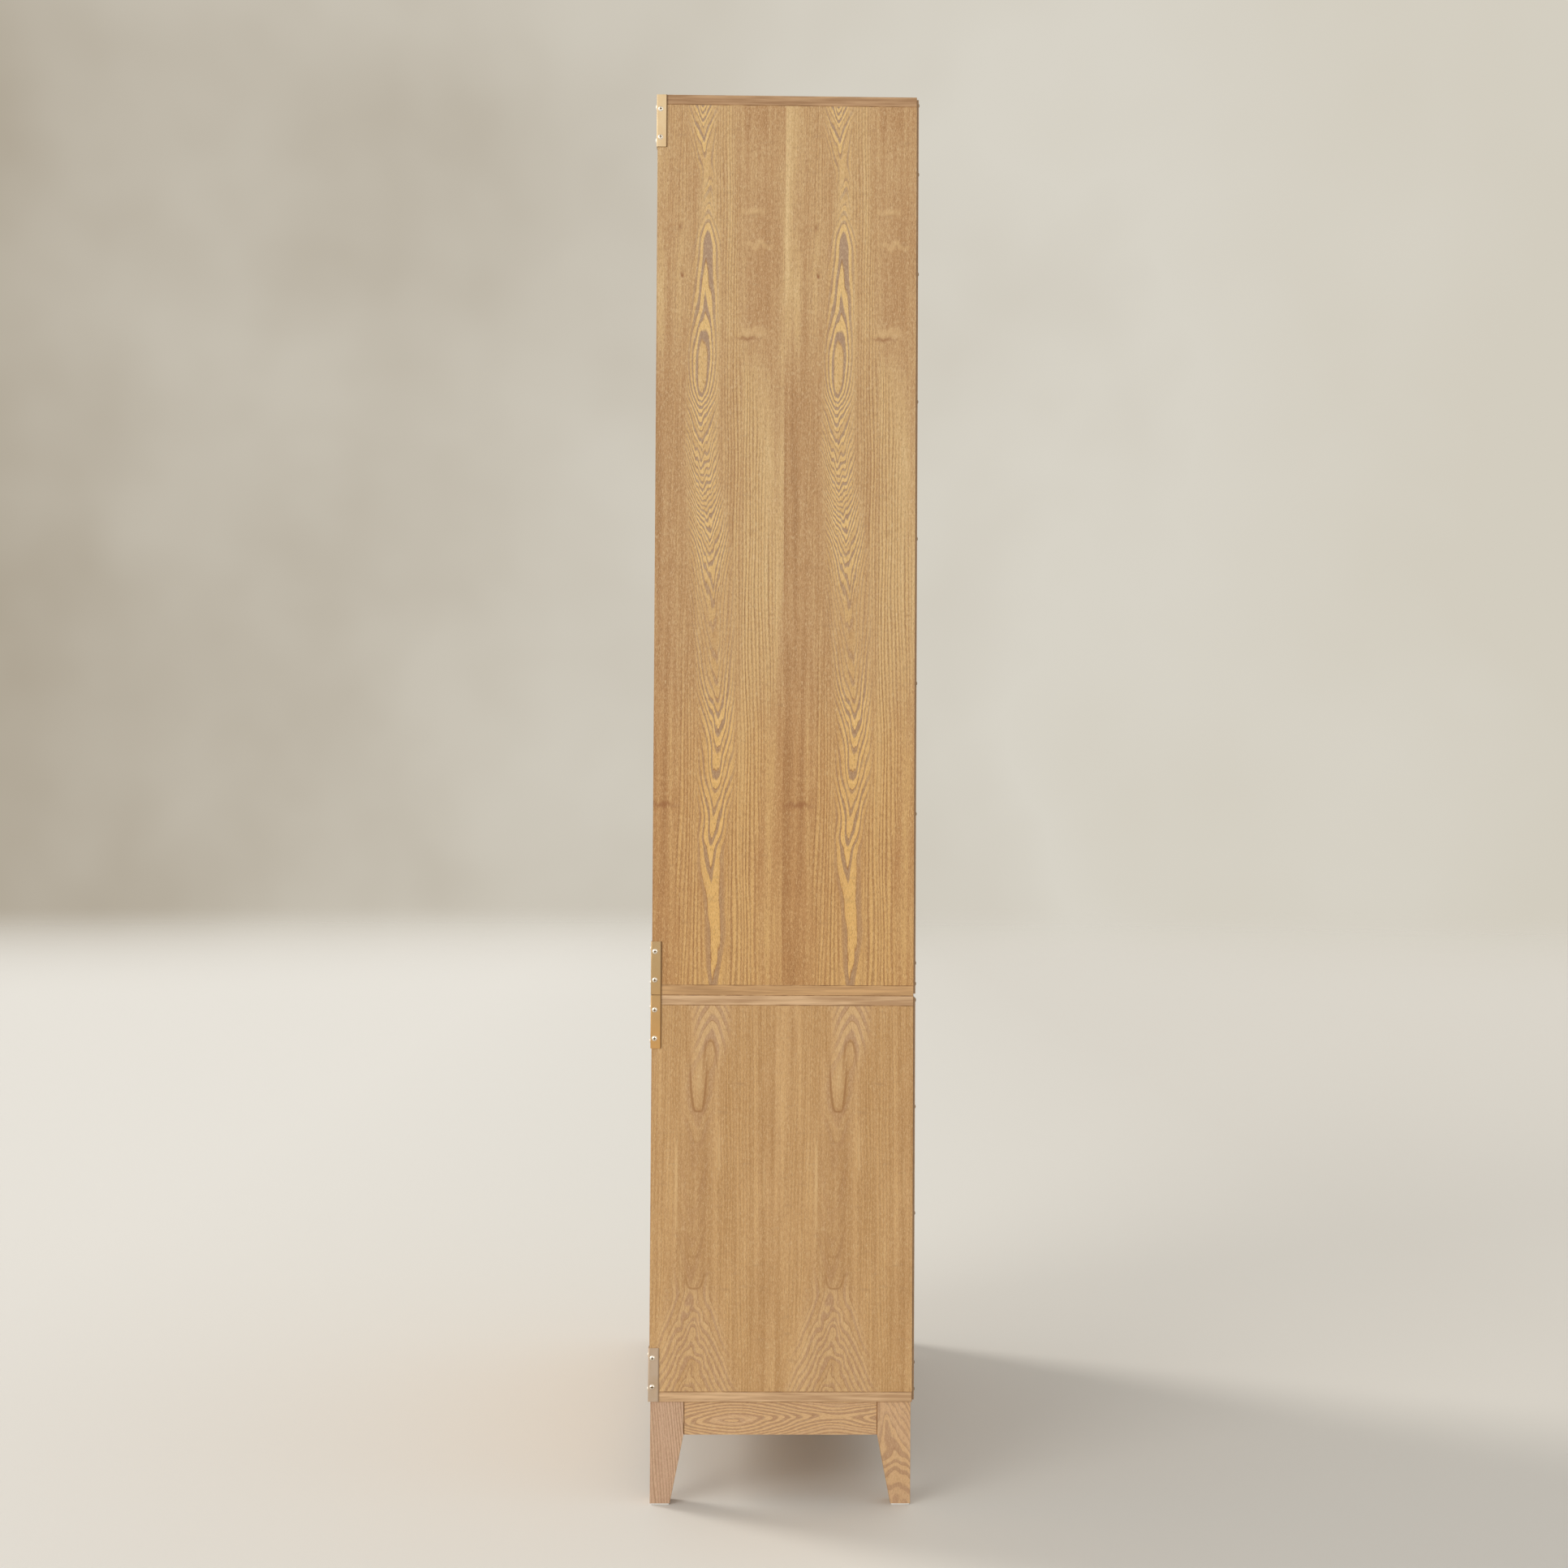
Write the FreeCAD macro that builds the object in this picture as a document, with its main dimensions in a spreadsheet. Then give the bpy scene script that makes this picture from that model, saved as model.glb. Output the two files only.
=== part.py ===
import FreeCAD, Part
import os
import re
import Sketcher

# Display cabinet: a tall glazed carcass on a shorter closed carcass, on a frame of four tapered legs.
# The front faces -Y, +Z is up, and the origin lies on the floor under the middle of the cabinet.
# Every piece off the centre line is built on the right, at +X, and mirrored to the left.

# Driving dimensions in millimetres.
SIZES = {
    "cabinet_width": 1000,
    "carcass_depth": 395.5,
    "upper_height": 1370,
    "lower_height": 610,
    "board": 15,
    "back_thickness": 3,
    "back_inset": 3,
    "back_screw_inset": 5,
    "back_screw_diameter": 3,
    "back_screw_bite": 12,
    "back_screw_head_diameter": 6,
    "back_screw_head_height": 1.5,
    "tongue_thickness": 4,
    "tongue_depth": 8,
    "tongue_margin": 40,
    "joint_clearance": 0.1,
    "leg_height": 152,
    "leg_top": 50,
    "leg_foot": 30,
    "leg_inset": 2,
    "apron_height": 50,
    "apron_thickness": 18,
    "apron_setback": 1.5,
    "apron_tenon_thickness": 8,
    "apron_tenon_length": 20,
    "apron_tenon_shoulder": 8,
    "block_arm": 85,
    "block_height": 30,
    "block_screw_diameter": 4.5,
    "block_screw_head_diameter": 9,
    "block_screw_head_height": 3,
    "block_screw_bite": 10,
    "glide_width": 27,
    "glide_thickness": 2,
    "bolt_diameter": 6,
    "bolt_head_diameter": 12,
    "bolt_head_height": 3,
    "bolt_bite": 10,
    "bolt_side_inset": 120,
    "bolt_end_inset": 80,
    "bolt_clearance": 0.3,
    "shelf_thickness": 18,
    "shelf_end_gap": 1,
    "shelf_setback": 40,
    "shelf_back_gap": 2,
    "pin_diameter": 5,
    "pin_reach": 9,
    "pin_bite": 8,
    "pin_inset": 40,
    "pin_clearance": 0.2,
    "bracket_arm": 16,
    "bracket_height": 80,
    "bracket_thickness": 1.5,
    "bracket_bend": 1.2,
    "bracket_end_gap": 0.5,
    "bracket_screw_inset": 6,
    "bracket_screw_end": 22,
    "bracket_screw_spacing": 43,
    "bracket_screw_stagger": 4,
    "bracket_screw_diameter": 3,
    "bracket_screw_bite": 12,
    "bracket_screw_head_diameter": 8,
    "bracket_screw_head_height": 2.2,
    "door_thickness": 20,
    "door_gap": 2.5,
    "door_meeting_gap": 3,
    "stile_width": 50,
    "rail_width": 50,
    "tenon_length": 25,
    "tenon_thickness": 6,
    "tenon_outer_shoulder": 8,
    "tenon_inner_shoulder": 4,
    "glass_lip": 6,
    "glass_thickness": 4,
    "glass_edge_gap": 1,
    "rebate_depth": 8,
    "bead_clearance": 0.2,
    "pivot_from_edge": 15,
    "pivot_from_front": 7,
    "pivot_stud_diameter": 6,
    "pivot_stud_length": 12,
    "pivot_running_clearance": 0.05,
    "pivot_end_clearance": 1,
    "pivot_seat_gap": 0.3,
    "pivot_plate_length": 40,
    "pivot_plate_width": 12,
    "pivot_plate_end": 12,
    "knob_projection": 20,
    "knob_diameter": 22,
    "knob_face_diameter": 18,
    "knob_rim": 6,
    "knob_chamfer": 2,
    "knob_neck_diameter": 10,
    "knob_stud_diameter": 5,
    "knob_stud_length": 14,
    "knob_edge_inset": 25,
    "upper_knob_rise": 450,
    "lower_knob_drop": 80,
    "catch_centre_inset": 8,
    "catch_width": 40,
    "catch_depth": 15,
    "catch_height": 14,
    "catch_flange_width": 56,
    "catch_flange_thickness": 2.5,
    "catch_gap": 0.3,
    "strike_width": 30,
    "strike_height": 11,
    "strike_thickness": 1.5,
    "strike_end_inset": 1,
}

# Screws, bolts and pins repeat many times, so each is a prism of this many sides. The small back screws
# have fewer.
FASTENER_SIDES = 10
BACK_SCREW_SIDES = 6

# Screws down each side of a back panel: the first and last by so many boards from the carcass's top and
# bottom, the others by shares of its height below the top, which are uneven because they are spaced by eye.
BACK_SCREW_SPACING = {
    "upper": (0.68, (0.085, 0.197, 0.34, 0.493, 0.654, 0.799, 0.964), 1.2),
    "lower": (0.45, (0.275, 0.538, 0.905), 1.2),
}

# Planes and levels that several pieces share.
FRONT = "((knob_projection - carcass_depth - back_thickness - back_screw_head_height)/2)"
BACK = f"({FRONT} + carcass_depth)"
MIDDLE = f"({FRONT} + carcass_depth/2)"
OUTER = "(cabinet_width/2)"
INNER = "(cabinet_width/2 - board)"
LOWER_FLOOR = "(glide_thickness + leg_height)"
UPPER_FLOOR = "(glide_thickness + leg_height + lower_height)"
DOOR_FREE_EDGE = "(door_meeting_gap/2)"
DOOR_HINGE_EDGE = f"({INNER} - door_gap)"
DOOR_BACK = f"({FRONT} + door_thickness)"
PIVOT_X = f"({DOOR_HINGE_EDGE} - pivot_from_edge)"
PIVOT_Y = f"({FRONT} + pivot_from_front)"
APRON_FACE = "(leg_inset + apron_setback)"
APRON_INSIDE = f"({APRON_FACE} + apron_thickness)"

document = FreeCAD.newDocument("DisplayCabinet")
sheet = document.addObject("Spreadsheet::Sheet", "Sizes")
for row, (size_name, size) in enumerate(SIZES.items(), start=1):
    sheet.set(f"A{row}", size_name)
    sheet.set(f"B{row}", str(size))
    sheet.setAlias(f"B{row}", size_name)
document.recompute()

pieces = []


def formula(text):
    """The text as an expression, with every size's name pointing at its cell."""
    return re.sub(r"[a-z_]{3,}", r"Sizes.\g<0>", text)


def value(text):
    """The number that the text comes to with the sizes in the sheet."""
    return float(sheet.evalExpression(formula(text)))


def bind(item, formulas):
    """Ties each named property of the item to its formula."""
    for name, text in formulas.items():
        item.setExpression(name, formula(text))


def place(item, x, y, z):
    bind(item, {"Placement.Base.x": x, "Placement.Base.y": y, "Placement.Base.z": z})


def fill(box, x, y, z):
    """Makes a box feature fill three ranges, each a low and a high formula."""
    for side, (low, high) in zip(("Length", "Width", "Height"), (x, y, z)):
        bind(box, {side: f"({high}) - ({low})"})
    place(box, x[0], y[0], z[0])


def block(name, x, y, z):
    box = document.addObject("Part::Box", name)
    fill(box, x, y, z)
    return box


def stand_up(bar, axis, span, at, diameter, sides=FASTENER_SIDES):
    """Runs a prism or cylinder along an axis: span is its range there and at its other coordinates."""
    turns = {
        "x": FreeCAD.Rotation(FreeCAD.Vector(0, 1, 0), 90),
        "y": FreeCAD.Rotation(FreeCAD.Vector(1, 0, 0), -90),
        "z": FreeCAD.Rotation(),
    }
    starts = {"x": (span[0], *at), "y": (at[0], span[0], at[1]), "z": (*at, span[0])}
    bar.Placement = FreeCAD.Placement(FreeCAD.Vector(), turns[axis])
    radius = "Radius"
    if hasattr(bar, "Polygon"):
        bar.Polygon = sides
        radius = "Circumradius"
    bind(bar, {radius: f"({diameter})/2", "Height": f"({span[1]}) - ({span[0]})"})
    place(bar, *starts[axis])


def rod(name, kind, axis, span, at, diameter, sides=FASTENER_SIDES):
    """A bar of its own, of kind Cylinder or Prism."""
    bar = document.addObject(f"Part::{kind}", name)
    stand_up(bar, axis, span, at, diameter, sides)
    return bar


def mirror(name, source):
    """The source's image on the other side of the cabinet's centre plane."""
    image = document.addObject("Part::Mirroring", name)
    image.Source = source
    image.Normal = (1, 0, 0)
    return image


def group(name, members):
    """Several solids kept apart in one piece."""
    together = document.addObject("Part::Compound", name)
    together.Links = members
    return together


def joined(name, members):
    whole = document.addObject("Part::MultiFuse", name)
    whole.Shapes = members
    return whole


def cut(name, blank, tools):
    """The blank with every tool taken away from it."""
    result = document.addObject("Part::Cut", name)
    result.Base = blank
    result.Tool = tools[0] if len(tools) == 1 else joined(f"{name}_tools", tools)
    return result


def origin_plane(body, role):
    return next(feature for feature in body.Origin.OriginFeatures if feature.Role == role)


def new_body(name, x, y, z):
    body = document.addObject("PartDesign::Body", name)
    place(body, x, y, z)
    return body


def outline(body, name, role, points, offset=("0", "0", "0")):
    """A closed sketch of straight lines, each corner held by its two distances from the sketch's origin."""
    sketch = body.newObject("Sketcher::SketchObject", name)
    sketch.AttachmentSupport = (origin_plane(body, role), [""])
    sketch.MapMode = "FlatFace"
    for axis, text in zip("xyz", offset):
        bind(sketch, {f"AttachmentOffset.Base.{axis}": text})
    corners = [FreeCAD.Vector(value(across), value(up), 0) for across, up in points]
    count = len(corners)
    for number in range(count):
        sketch.addGeometry(Part.LineSegment(corners[number], corners[(number + 1) % count]))
    for number in range(count):
        sketch.addConstraint(Sketcher.Constraint("Coincident", number, 2, (number + 1) % count, 1))
    for number, point in enumerate(points):
        for kind, text in zip(("DistanceX", "DistanceY"), point):
            held = sketch.addConstraint(Sketcher.Constraint(kind, -1, 1, number, 1, value(text)))
            sketch.renameConstraint(held, f"{kind}{number}")
            bind(sketch, {f"Constraints.{kind}{number}": text})
    return sketch


def pad(body, name, sketch, length, backwards=False):
    feature = body.newObject("PartDesign::Pad", name)
    feature.Profile = sketch
    feature.Reversed = backwards
    bind(feature, {"Length": length})
    return feature


def turned(body, name, profile):
    """A solid of revolution about the body's Y axis, from corners given as (along, radius)."""
    sketch = outline(body, f"{name}_profile", "YZ_Plane", profile)
    feature = body.newObject("PartDesign::Revolution", name)
    feature.Profile = sketch
    feature.ReferenceAxis = (sketch, ["H_Axis"])
    feature.Angle = 360
    return feature


def box_feature(body, kind, name, x, y, z):
    feature = body.newObject(f"PartDesign::{kind}Box", name)
    fill(feature, x, y, z)
    return feature


def rod_feature(body, kind, name, axis, span, at, diameter):
    """A bar added to a body or taken from it, of a kind such as AdditivePrism."""
    feature = body.newObject(f"PartDesign::{kind}", name)
    stand_up(feature, axis, span, at, diameter)
    return feature


def reflect(body, *roles):
    """Repeats the whole body across each of the named planes in turn."""
    for number, role in enumerate(roles):
        document.recompute()
        image = body.newObject("PartDesign::Mirrored", f"{body.Name}_mirrored_{number}")
        image.MirrorPlane = (origin_plane(body, role), [""])
        image.TransformMode = "Whole shape"
        body.Tip = image


def keep(*items):
    pieces.extend(items)


def keep_pair(item):
    """Keeps a right-hand piece and its image on the left."""
    keep(item, mirror(item.Name.replace("right", "left"), item))


def tongue_joint(name, level, clearance):
    """The strip of wood in the joint of the right side at a level, or with a clearance its groove."""
    centre = "(cabinet_width/2 - board/2)"
    half = f"(tongue_thickness/2 + {clearance})"
    return block(
        name,
        (f"{centre} - {half}", f"{centre} + {half}"),
        (f"{FRONT} + tongue_margin - {clearance}", f"{BACK} - tongue_margin + {clearance}"),
        (f"{level} - tongue_depth - {clearance}", f"{level} + tongue_depth + {clearance}"),
    )


def bolt_holes(name, span):
    """Clearance holes for the bolts that hold the two carcasses together."""
    holes = []
    for end, y in (("front", f"{FRONT} + bolt_end_inset"), ("back", f"{BACK} - bolt_end_inset")):
        at = ("cabinet_width/2 - bolt_side_inset", y)
        hole = rod(f"{name}_{end}_right", "Prism", "z", span, at, "(bolt_diameter + 2*bolt_clearance)")
        holes += [hole, mirror(f"{name}_{end}_left", hole)]
    return holes


def shelf_set(carcass, floor, height, names):
    """Shelves at even heights, their pins, and the pin holes for the right-hand side."""
    pins = []
    holes = []
    for number, name in enumerate(names, start=1):
        share = f"{number}/{len(names) + 1}"
        under = f"({floor} + board + ({height} - 2*board)*{share} - shelf_thickness/2)"
        reach = f"({INNER} - shelf_end_gap)"
        depth = (f"{FRONT} + shelf_setback", f"{BACK} - shelf_back_gap")
        keep(block(name, (f"-{reach}", reach), depth, (under, f"{under} + shelf_thickness")))
        for end, y in (("front", f"{depth[0]} + pin_inset"), ("back", f"{depth[1]} - pin_inset")):
            at = (y, f"{under} - pin_clearance - pin_diameter/2")
            span = (f"{INNER} - pin_reach", f"{INNER} + pin_bite")
            bore = (INNER, f"{INNER} + pin_bite + pin_clearance")
            pin = rod(f"{name}_{end}_right_pin", "Prism", "x", span, at, "pin_diameter")
            pins += [pin, mirror(f"{name}_{end}_left_pin", pin)]
            wide = "(pin_diameter + 2*joint_clearance)"
            holes.append(rod(f"{name}_{end}_pin_hole", "Prism", "x", bore, at, wide))
    keep(group(f"{carcass}_shelf_pins", pins))
    return holes


def make_carcass(name, floor, height, shelf_names, top_holes, bottom_holes):
    """Two sides between a top and a bottom board that run over their ends, with a back laid on behind."""
    under = f"({floor} + board)"
    over = f"({floor} + {height} - board)"
    tongues = []
    grooves = {}
    for place_name, level in (("bottom", under), ("top", over)):
        tongue = tongue_joint(f"{name}_{place_name}_tongue_right", level, "0")
        tongues += [tongue, mirror(f"{name}_{place_name}_tongue_left", tongue)]
        groove = tongue_joint(f"{name}_{place_name}_groove_right", level, "joint_clearance")
        grooves[place_name] = [groove, mirror(f"{name}_{place_name}_groove_left", groove)]

    width = (f"-{OUTER}", OUTER)
    depth = (FRONT, BACK)
    bottom = block(f"{name}_bottom_blank", width, depth, (floor, under))
    keep(cut(f"{name}_bottom_board", bottom, grooves["bottom"] + bottom_holes))
    top = block(f"{name}_top_blank", width, depth, (over, f"{over} + board"))
    keep(cut(f"{name}_top_board", top, grooves["top"] + top_holes))

    pin_holes = shelf_set(name, floor, height, shelf_names)
    side = block(f"{name}_side_blank", (INNER, OUTER), depth, (under, over))
    keep_pair(cut(f"{name}_right_side", side, [grooves["bottom"][0], grooves["top"][0], *pin_holes]))

    reach = f"({OUTER} - back_inset)"
    behind = (BACK, f"{BACK} + back_thickness")
    rise = (f"{floor} + back_inset", f"{floor} + {height} - back_inset")
    keep(block(f"{name}_back_panel", (f"-{reach}", reach), behind, rise))
    return tongues


def back_screws(name, floor, height):
    """Small screws down both sides of a back panel, through it into the boards in front."""
    first, shares, last = BACK_SCREW_SPACING[name]
    top = f"({floor} + {height})"
    between = [f"{top} - {share}*{height}" for share in shares]
    levels = [f"{top} - {first}*board", *between, f"{floor} + {last}*board"]
    seat = f"{BACK} + back_thickness"
    head = (seat, f"{seat} + back_screw_head_height")
    shank = (f"{BACK} - back_screw_bite", head[1])
    screws = []
    for number, level in enumerate(levels):
        screw = f"{name}_back_screw_{number}"
        at = (f"{OUTER} - back_inset - back_screw_inset", level)
        parts = [
            rod(f"{screw}_head", "Prism", "y", head, at, "back_screw_head_diameter", BACK_SCREW_SIDES),
            rod(f"{screw}_shank", "Prism", "y", shank, at, "back_screw_diameter", BACK_SCREW_SIDES),
        ]
        right = joined(f"{screw}_right", parts)
        screws += [right, mirror(f"{screw}_left", right)]
    return screws


def bracket_screw_places(height):
    """The heights, above the carcass's middle, of a top bracket's screws on its side and on its front."""
    end = f"({height}/2 - bracket_end_gap - bracket_screw_end)"
    side = (end, f"{end} - bracket_screw_spacing")
    front = (f"{end} + bracket_screw_stagger", f"{end} - bracket_screw_spacing - bracket_screw_stagger")
    return side, front


def bracket_screw(body, name, axis, head, shank, at):
    rod_feature(body, "AdditivePrism", f"{name}_head", axis, head, at, "bracket_screw_head_diameter")
    rod_feature(body, "AdditivePrism", f"{name}_shank", axis, shank, at, "bracket_screw_diameter")


def make_brackets(name, floor, height):
    """Bent angles wrapped round the four front corners of a carcass, with their screws."""
    face = "(cabinet_width/2 + bracket_thickness)"
    tip = "(bracket_arm - bracket_thickness)"
    side_heights, front_heights = bracket_screw_places(height)
    side_y = "(bracket_screw_inset - bracket_thickness)"
    front_x = f"({face} - bracket_screw_inset)"
    middle = f"{floor} + {height}/2"

    body = new_body(f"{name}_corner_brackets", "0", FRONT, middle)
    corners = [
        (face, "-bracket_thickness"),
        (face, tip),
        (OUTER, tip),
        (OUTER, "0"),
        (f"{face} - bracket_arm", "0"),
        (f"{face} - bracket_arm", "-bracket_thickness"),
    ]
    foot = f"{height}/2 - bracket_end_gap - bracket_height"
    section = outline(body, f"{name}_bracket_section", "XY_Plane", corners, ("0", "0", foot))
    angle = pad(body, f"{name}_bracket_angle", section, "bracket_height")
    document.recompute()
    bend = FreeCAD.Vector(value(face), -value("bracket_thickness"), 0)
    for number, edge in enumerate(angle.Shape.Edges, start=1):
        ends = [vertex.Point - bend for vertex in edge.Vertexes]
        if all(abs(end.x) + abs(end.y) < 1e-6 for end in ends):
            fold = body.newObject("PartDesign::Fillet", f"{name}_bracket_bend")
            fold.Base = (angle, [f"Edge{number}"])
            bind(fold, {"Radius": "bracket_bend"})
            break
    through = "(bracket_screw_diameter + 2*joint_clearance)"
    side_wall = (OUTER, face)
    front_wall = ("-bracket_thickness", "0")
    for number, up in enumerate(side_heights):
        hole = f"{name}_side_hole_{number}"
        rod_feature(body, "SubtractivePrism", hole, "x", side_wall, (side_y, up), through)
    for number, up in enumerate(front_heights):
        hole = f"{name}_front_hole_{number}"
        rod_feature(body, "SubtractivePrism", hole, "y", front_wall, (front_x, up), through)
    reflect(body, "XY_Plane", "YZ_Plane")
    keep(body)

    screws = new_body(f"{name}_bracket_screws", "0", FRONT, middle)
    side_head = (face, f"{face} + bracket_screw_head_height")
    side_shank = (f"{OUTER} - bracket_screw_bite", side_head[1])
    front_head = ("-bracket_thickness - bracket_screw_head_height", "-bracket_thickness")
    front_shank = (front_head[0], "bracket_screw_bite")
    for number, up in enumerate(side_heights):
        screw = f"{name}_side_screw_{number}"
        bracket_screw(screws, screw, "x", side_head, side_shank, (side_y, up))
    for number, up in enumerate(front_heights):
        screw = f"{name}_front_screw_{number}"
        bracket_screw(screws, screw, "y", front_head, front_shank, (front_x, up))
    reflect(screws, "XY_Plane", "YZ_Plane")
    keep(screws)


def make_pivots(name, floor, height):
    """A plate with a stud on the board over and under the hinge edge of each door."""
    body = new_body(f"{name}_pivot_plates", "0", FRONT, f"{floor} + {height}/2")
    seat = f"({height}/2 - board)"
    thickness = "(door_gap - pivot_seat_gap)"
    low_x = f"{PIVOT_X} + pivot_plate_end - pivot_plate_length"
    box_feature(
        body,
        "Additive",
        f"{name}_plate",
        (low_x, f"{PIVOT_X} + pivot_plate_end"),
        ("pivot_from_front - pivot_plate_width/2", "pivot_from_front + pivot_plate_width/2"),
        (f"{seat} - {thickness}", seat),
    )
    span = (f"{seat} - {thickness} - pivot_stud_length", seat)
    at = (PIVOT_X, "pivot_from_front")
    rod_feature(body, "AdditiveCylinder", f"{name}_stud", "z", span, at, "pivot_stud_diameter")
    reflect(body, "XY_Plane", "YZ_Plane")
    keep(body)


def make_catches(name, floor, height):
    """Magnetic catches under the top board, each a housing on a wider flange, behind the meeting edges."""
    over = f"({floor} + {height} - board)"
    body = new_body(f"{name}_door_catches", "0", DOOR_BACK, over)
    front = "(strike_thickness + catch_gap)"
    depth = (front, f"{front} + catch_depth")
    spread = "(catch_flange_width - catch_width)/2"
    span = ("catch_centre_inset", "catch_centre_inset + catch_width")
    housing_depth = ("-catch_height", "0")
    box_feature(body, "Additive", f"{name}_catch_housing", span, depth, housing_depth)
    flange = ("catch_centre_inset", f"catch_centre_inset + catch_width + 2*{spread}")
    flange_depth = ("-catch_flange_thickness", "0")
    box_feature(body, "Additive", f"{name}_catch_flange", flange, depth, flange_depth)
    reflect(body, "YZ_Plane")
    keep(body)


def make_bolts():
    """Bolts from inside the lower carcass, through its top board, into the upper carcass."""
    body = new_body("joining_bolts", "0", MIDDLE, UPPER_FLOOR)
    at = ("cabinet_width/2 - bolt_side_inset", "bolt_end_inset - carcass_depth/2")
    head = ("-board - bolt_head_height", "-board")
    rod_feature(body, "AdditivePrism", "bolt_head", "z", head, at, "bolt_head_diameter")
    rod_feature(body, "AdditivePrism", "bolt_shank", "z", (head[0], "bolt_bite"), at, "bolt_diameter")
    reflect(body, "XZ_Plane", "YZ_Plane")
    keep(body)


def square(width, inward):
    """The corners of a square with its outer corner at the origin, drawn inwards from the right."""
    return [("0", "0"), (f"-{width}", "0"), (f"-{width}", f"{inward}*{width}"), ("0", f"{inward}*{width}")]


def leg_depth(inward, low, high):
    """A range measured inwards along Y from a leg's outer face."""
    return (low, high) if inward > 0 else (f"-({high})", f"-({low})")


def make_leg(end, inward, outer_face):
    """A leg that is square beside the aprons and tapers on its two inner faces below them."""
    name = f"{end}_right_leg"
    body = new_body(name, "cabinet_width/2 - leg_inset", outer_face, "glide_thickness")
    knee_height = "leg_height - apron_height"
    foot = outline(body, f"{name}_foot", "XY_Plane", square("leg_foot", inward))
    knee = outline(body, f"{name}_knee", "XY_Plane", square("leg_top", inward), ("0", "0", knee_height))
    taper = body.newObject("PartDesign::AdditiveLoft", f"{name}_taper")
    taper.Profile = foot
    taper.Sections = [knee]
    taper.Ruled = True
    document.recompute()
    pad(body, f"{name}_block", knee, "apron_height")
    document.recompute()
    middle = "(apron_setback + apron_thickness/2)"
    half = "(apron_tenon_thickness/2 + joint_clearance)"
    thick = (f"{middle} - {half}", f"{middle} + {half}")
    deep = ("leg_top - apron_tenon_length - joint_clearance", "leg_top")
    shoulder = "(apron_tenon_shoulder - joint_clearance)"
    rise = (f"{knee_height} + {shoulder}", f"leg_height - {shoulder}")
    across = [(f"-({high})", f"-({low})") for low, high in (thick, deep)]
    box_feature(body, "Subtractive", f"{name}_side_mortise", across[0], leg_depth(inward, *deep), rise)
    box_feature(body, "Subtractive", f"{name}_end_mortise", across[1], leg_depth(inward, *thick), rise)
    keep_pair(body)


def apron(name, x, y, tenon_x, tenon_y):
    """A rail of the leg frame with a thinner tenon running out of both ends."""
    low = f"{LOWER_FLOOR} - apron_height"
    rail = block(f"{name}_rail", x, y, (low, LOWER_FLOOR))
    rise = (f"{low} + apron_tenon_shoulder", f"{LOWER_FLOOR} - apron_tenon_shoulder")
    tenon = block(f"{name}_tenon", tenon_x, tenon_y, rise)
    return joined(name, [rail, tenon])


def make_aprons():
    inside = "(leg_inset + leg_top)"
    shrink = "(apron_thickness - apron_tenon_thickness)/2"
    side = (f"{OUTER} - {APRON_INSIDE}", f"{OUTER} - {APRON_FACE}")
    side_tenon = (f"{side[0]} + {shrink}", f"{side[1]} - {shrink}")
    run = (f"{FRONT} + {inside}", f"{BACK} - {inside}")
    tenon_run = (f"{run[0]} - apron_tenon_length", f"{run[1]} + apron_tenon_length")
    keep_pair(apron("right_apron", side, run, side_tenon, tenon_run))
    half_run = f"({OUTER} - {inside})"
    half_tenon = f"({half_run} + apron_tenon_length)"
    faces = {
        "front": (f"{FRONT} + {APRON_FACE}", f"{FRONT} + {APRON_INSIDE}"),
        "back": (f"{BACK} - {APRON_INSIDE}", f"{BACK} - {APRON_FACE}"),
    }
    for end, depth in faces.items():
        tenon_depth = (f"{depth[0]} + {shrink}", f"{depth[1]} - {shrink}")
        spans = (f"-{half_run}", half_run), depth, (f"-{half_tenon}", half_tenon), tenon_depth
        keep(apron(f"{end}_apron", *spans))


def make_corner_blocks():
    """Blocks notched round the legs in the corners of the frame, with a screw up through each one."""
    body = new_body("corner_blocks", "0", MIDDLE, LOWER_FLOOR)
    apron_x = f"({OUTER} - {APRON_INSIDE})"
    apron_y = f"({APRON_INSIDE} - carcass_depth/2)"
    leg_x = f"({OUTER} - leg_inset - leg_top - joint_clearance)"
    leg_y = "(leg_inset + leg_top + joint_clearance - carcass_depth/2)"
    corners = [
        (leg_x, apron_y),
        (f"{apron_x} - block_arm", apron_y),
        (apron_x, f"{apron_y} + block_arm"),
        (apron_x, leg_y),
        (leg_x, leg_y),
    ]
    section = outline(body, "block_section", "XY_Plane", corners)
    pad(body, "block", section, "block_height", backwards=True)
    document.recompute()
    reach = "(leg_top - apron_setback - apron_thickness + block_arm/2)/2"
    at = (f"{apron_x} - {reach}", f"{apron_y} + {reach}")
    wide = "(block_screw_diameter + 2*joint_clearance)"
    rod_feature(body, "SubtractivePrism", "block_hole", "z", ("-block_height", "0"), at, wide)
    reflect(body, "XZ_Plane", "YZ_Plane")
    keep(body)

    screws = new_body("corner_block_screws", "0", MIDDLE, LOWER_FLOOR)
    head = ("-block_height - block_screw_head_height", "-block_height")
    shank = (head[0], "block_screw_bite")
    rod_feature(screws, "AdditivePrism", "block_screw_head", "z", head, at, "block_screw_head_diameter")
    rod_feature(screws, "AdditivePrism", "block_screw_shank", "z", shank, at, "block_screw_diameter")
    reflect(screws, "XZ_Plane", "YZ_Plane")
    keep(screws)


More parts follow.
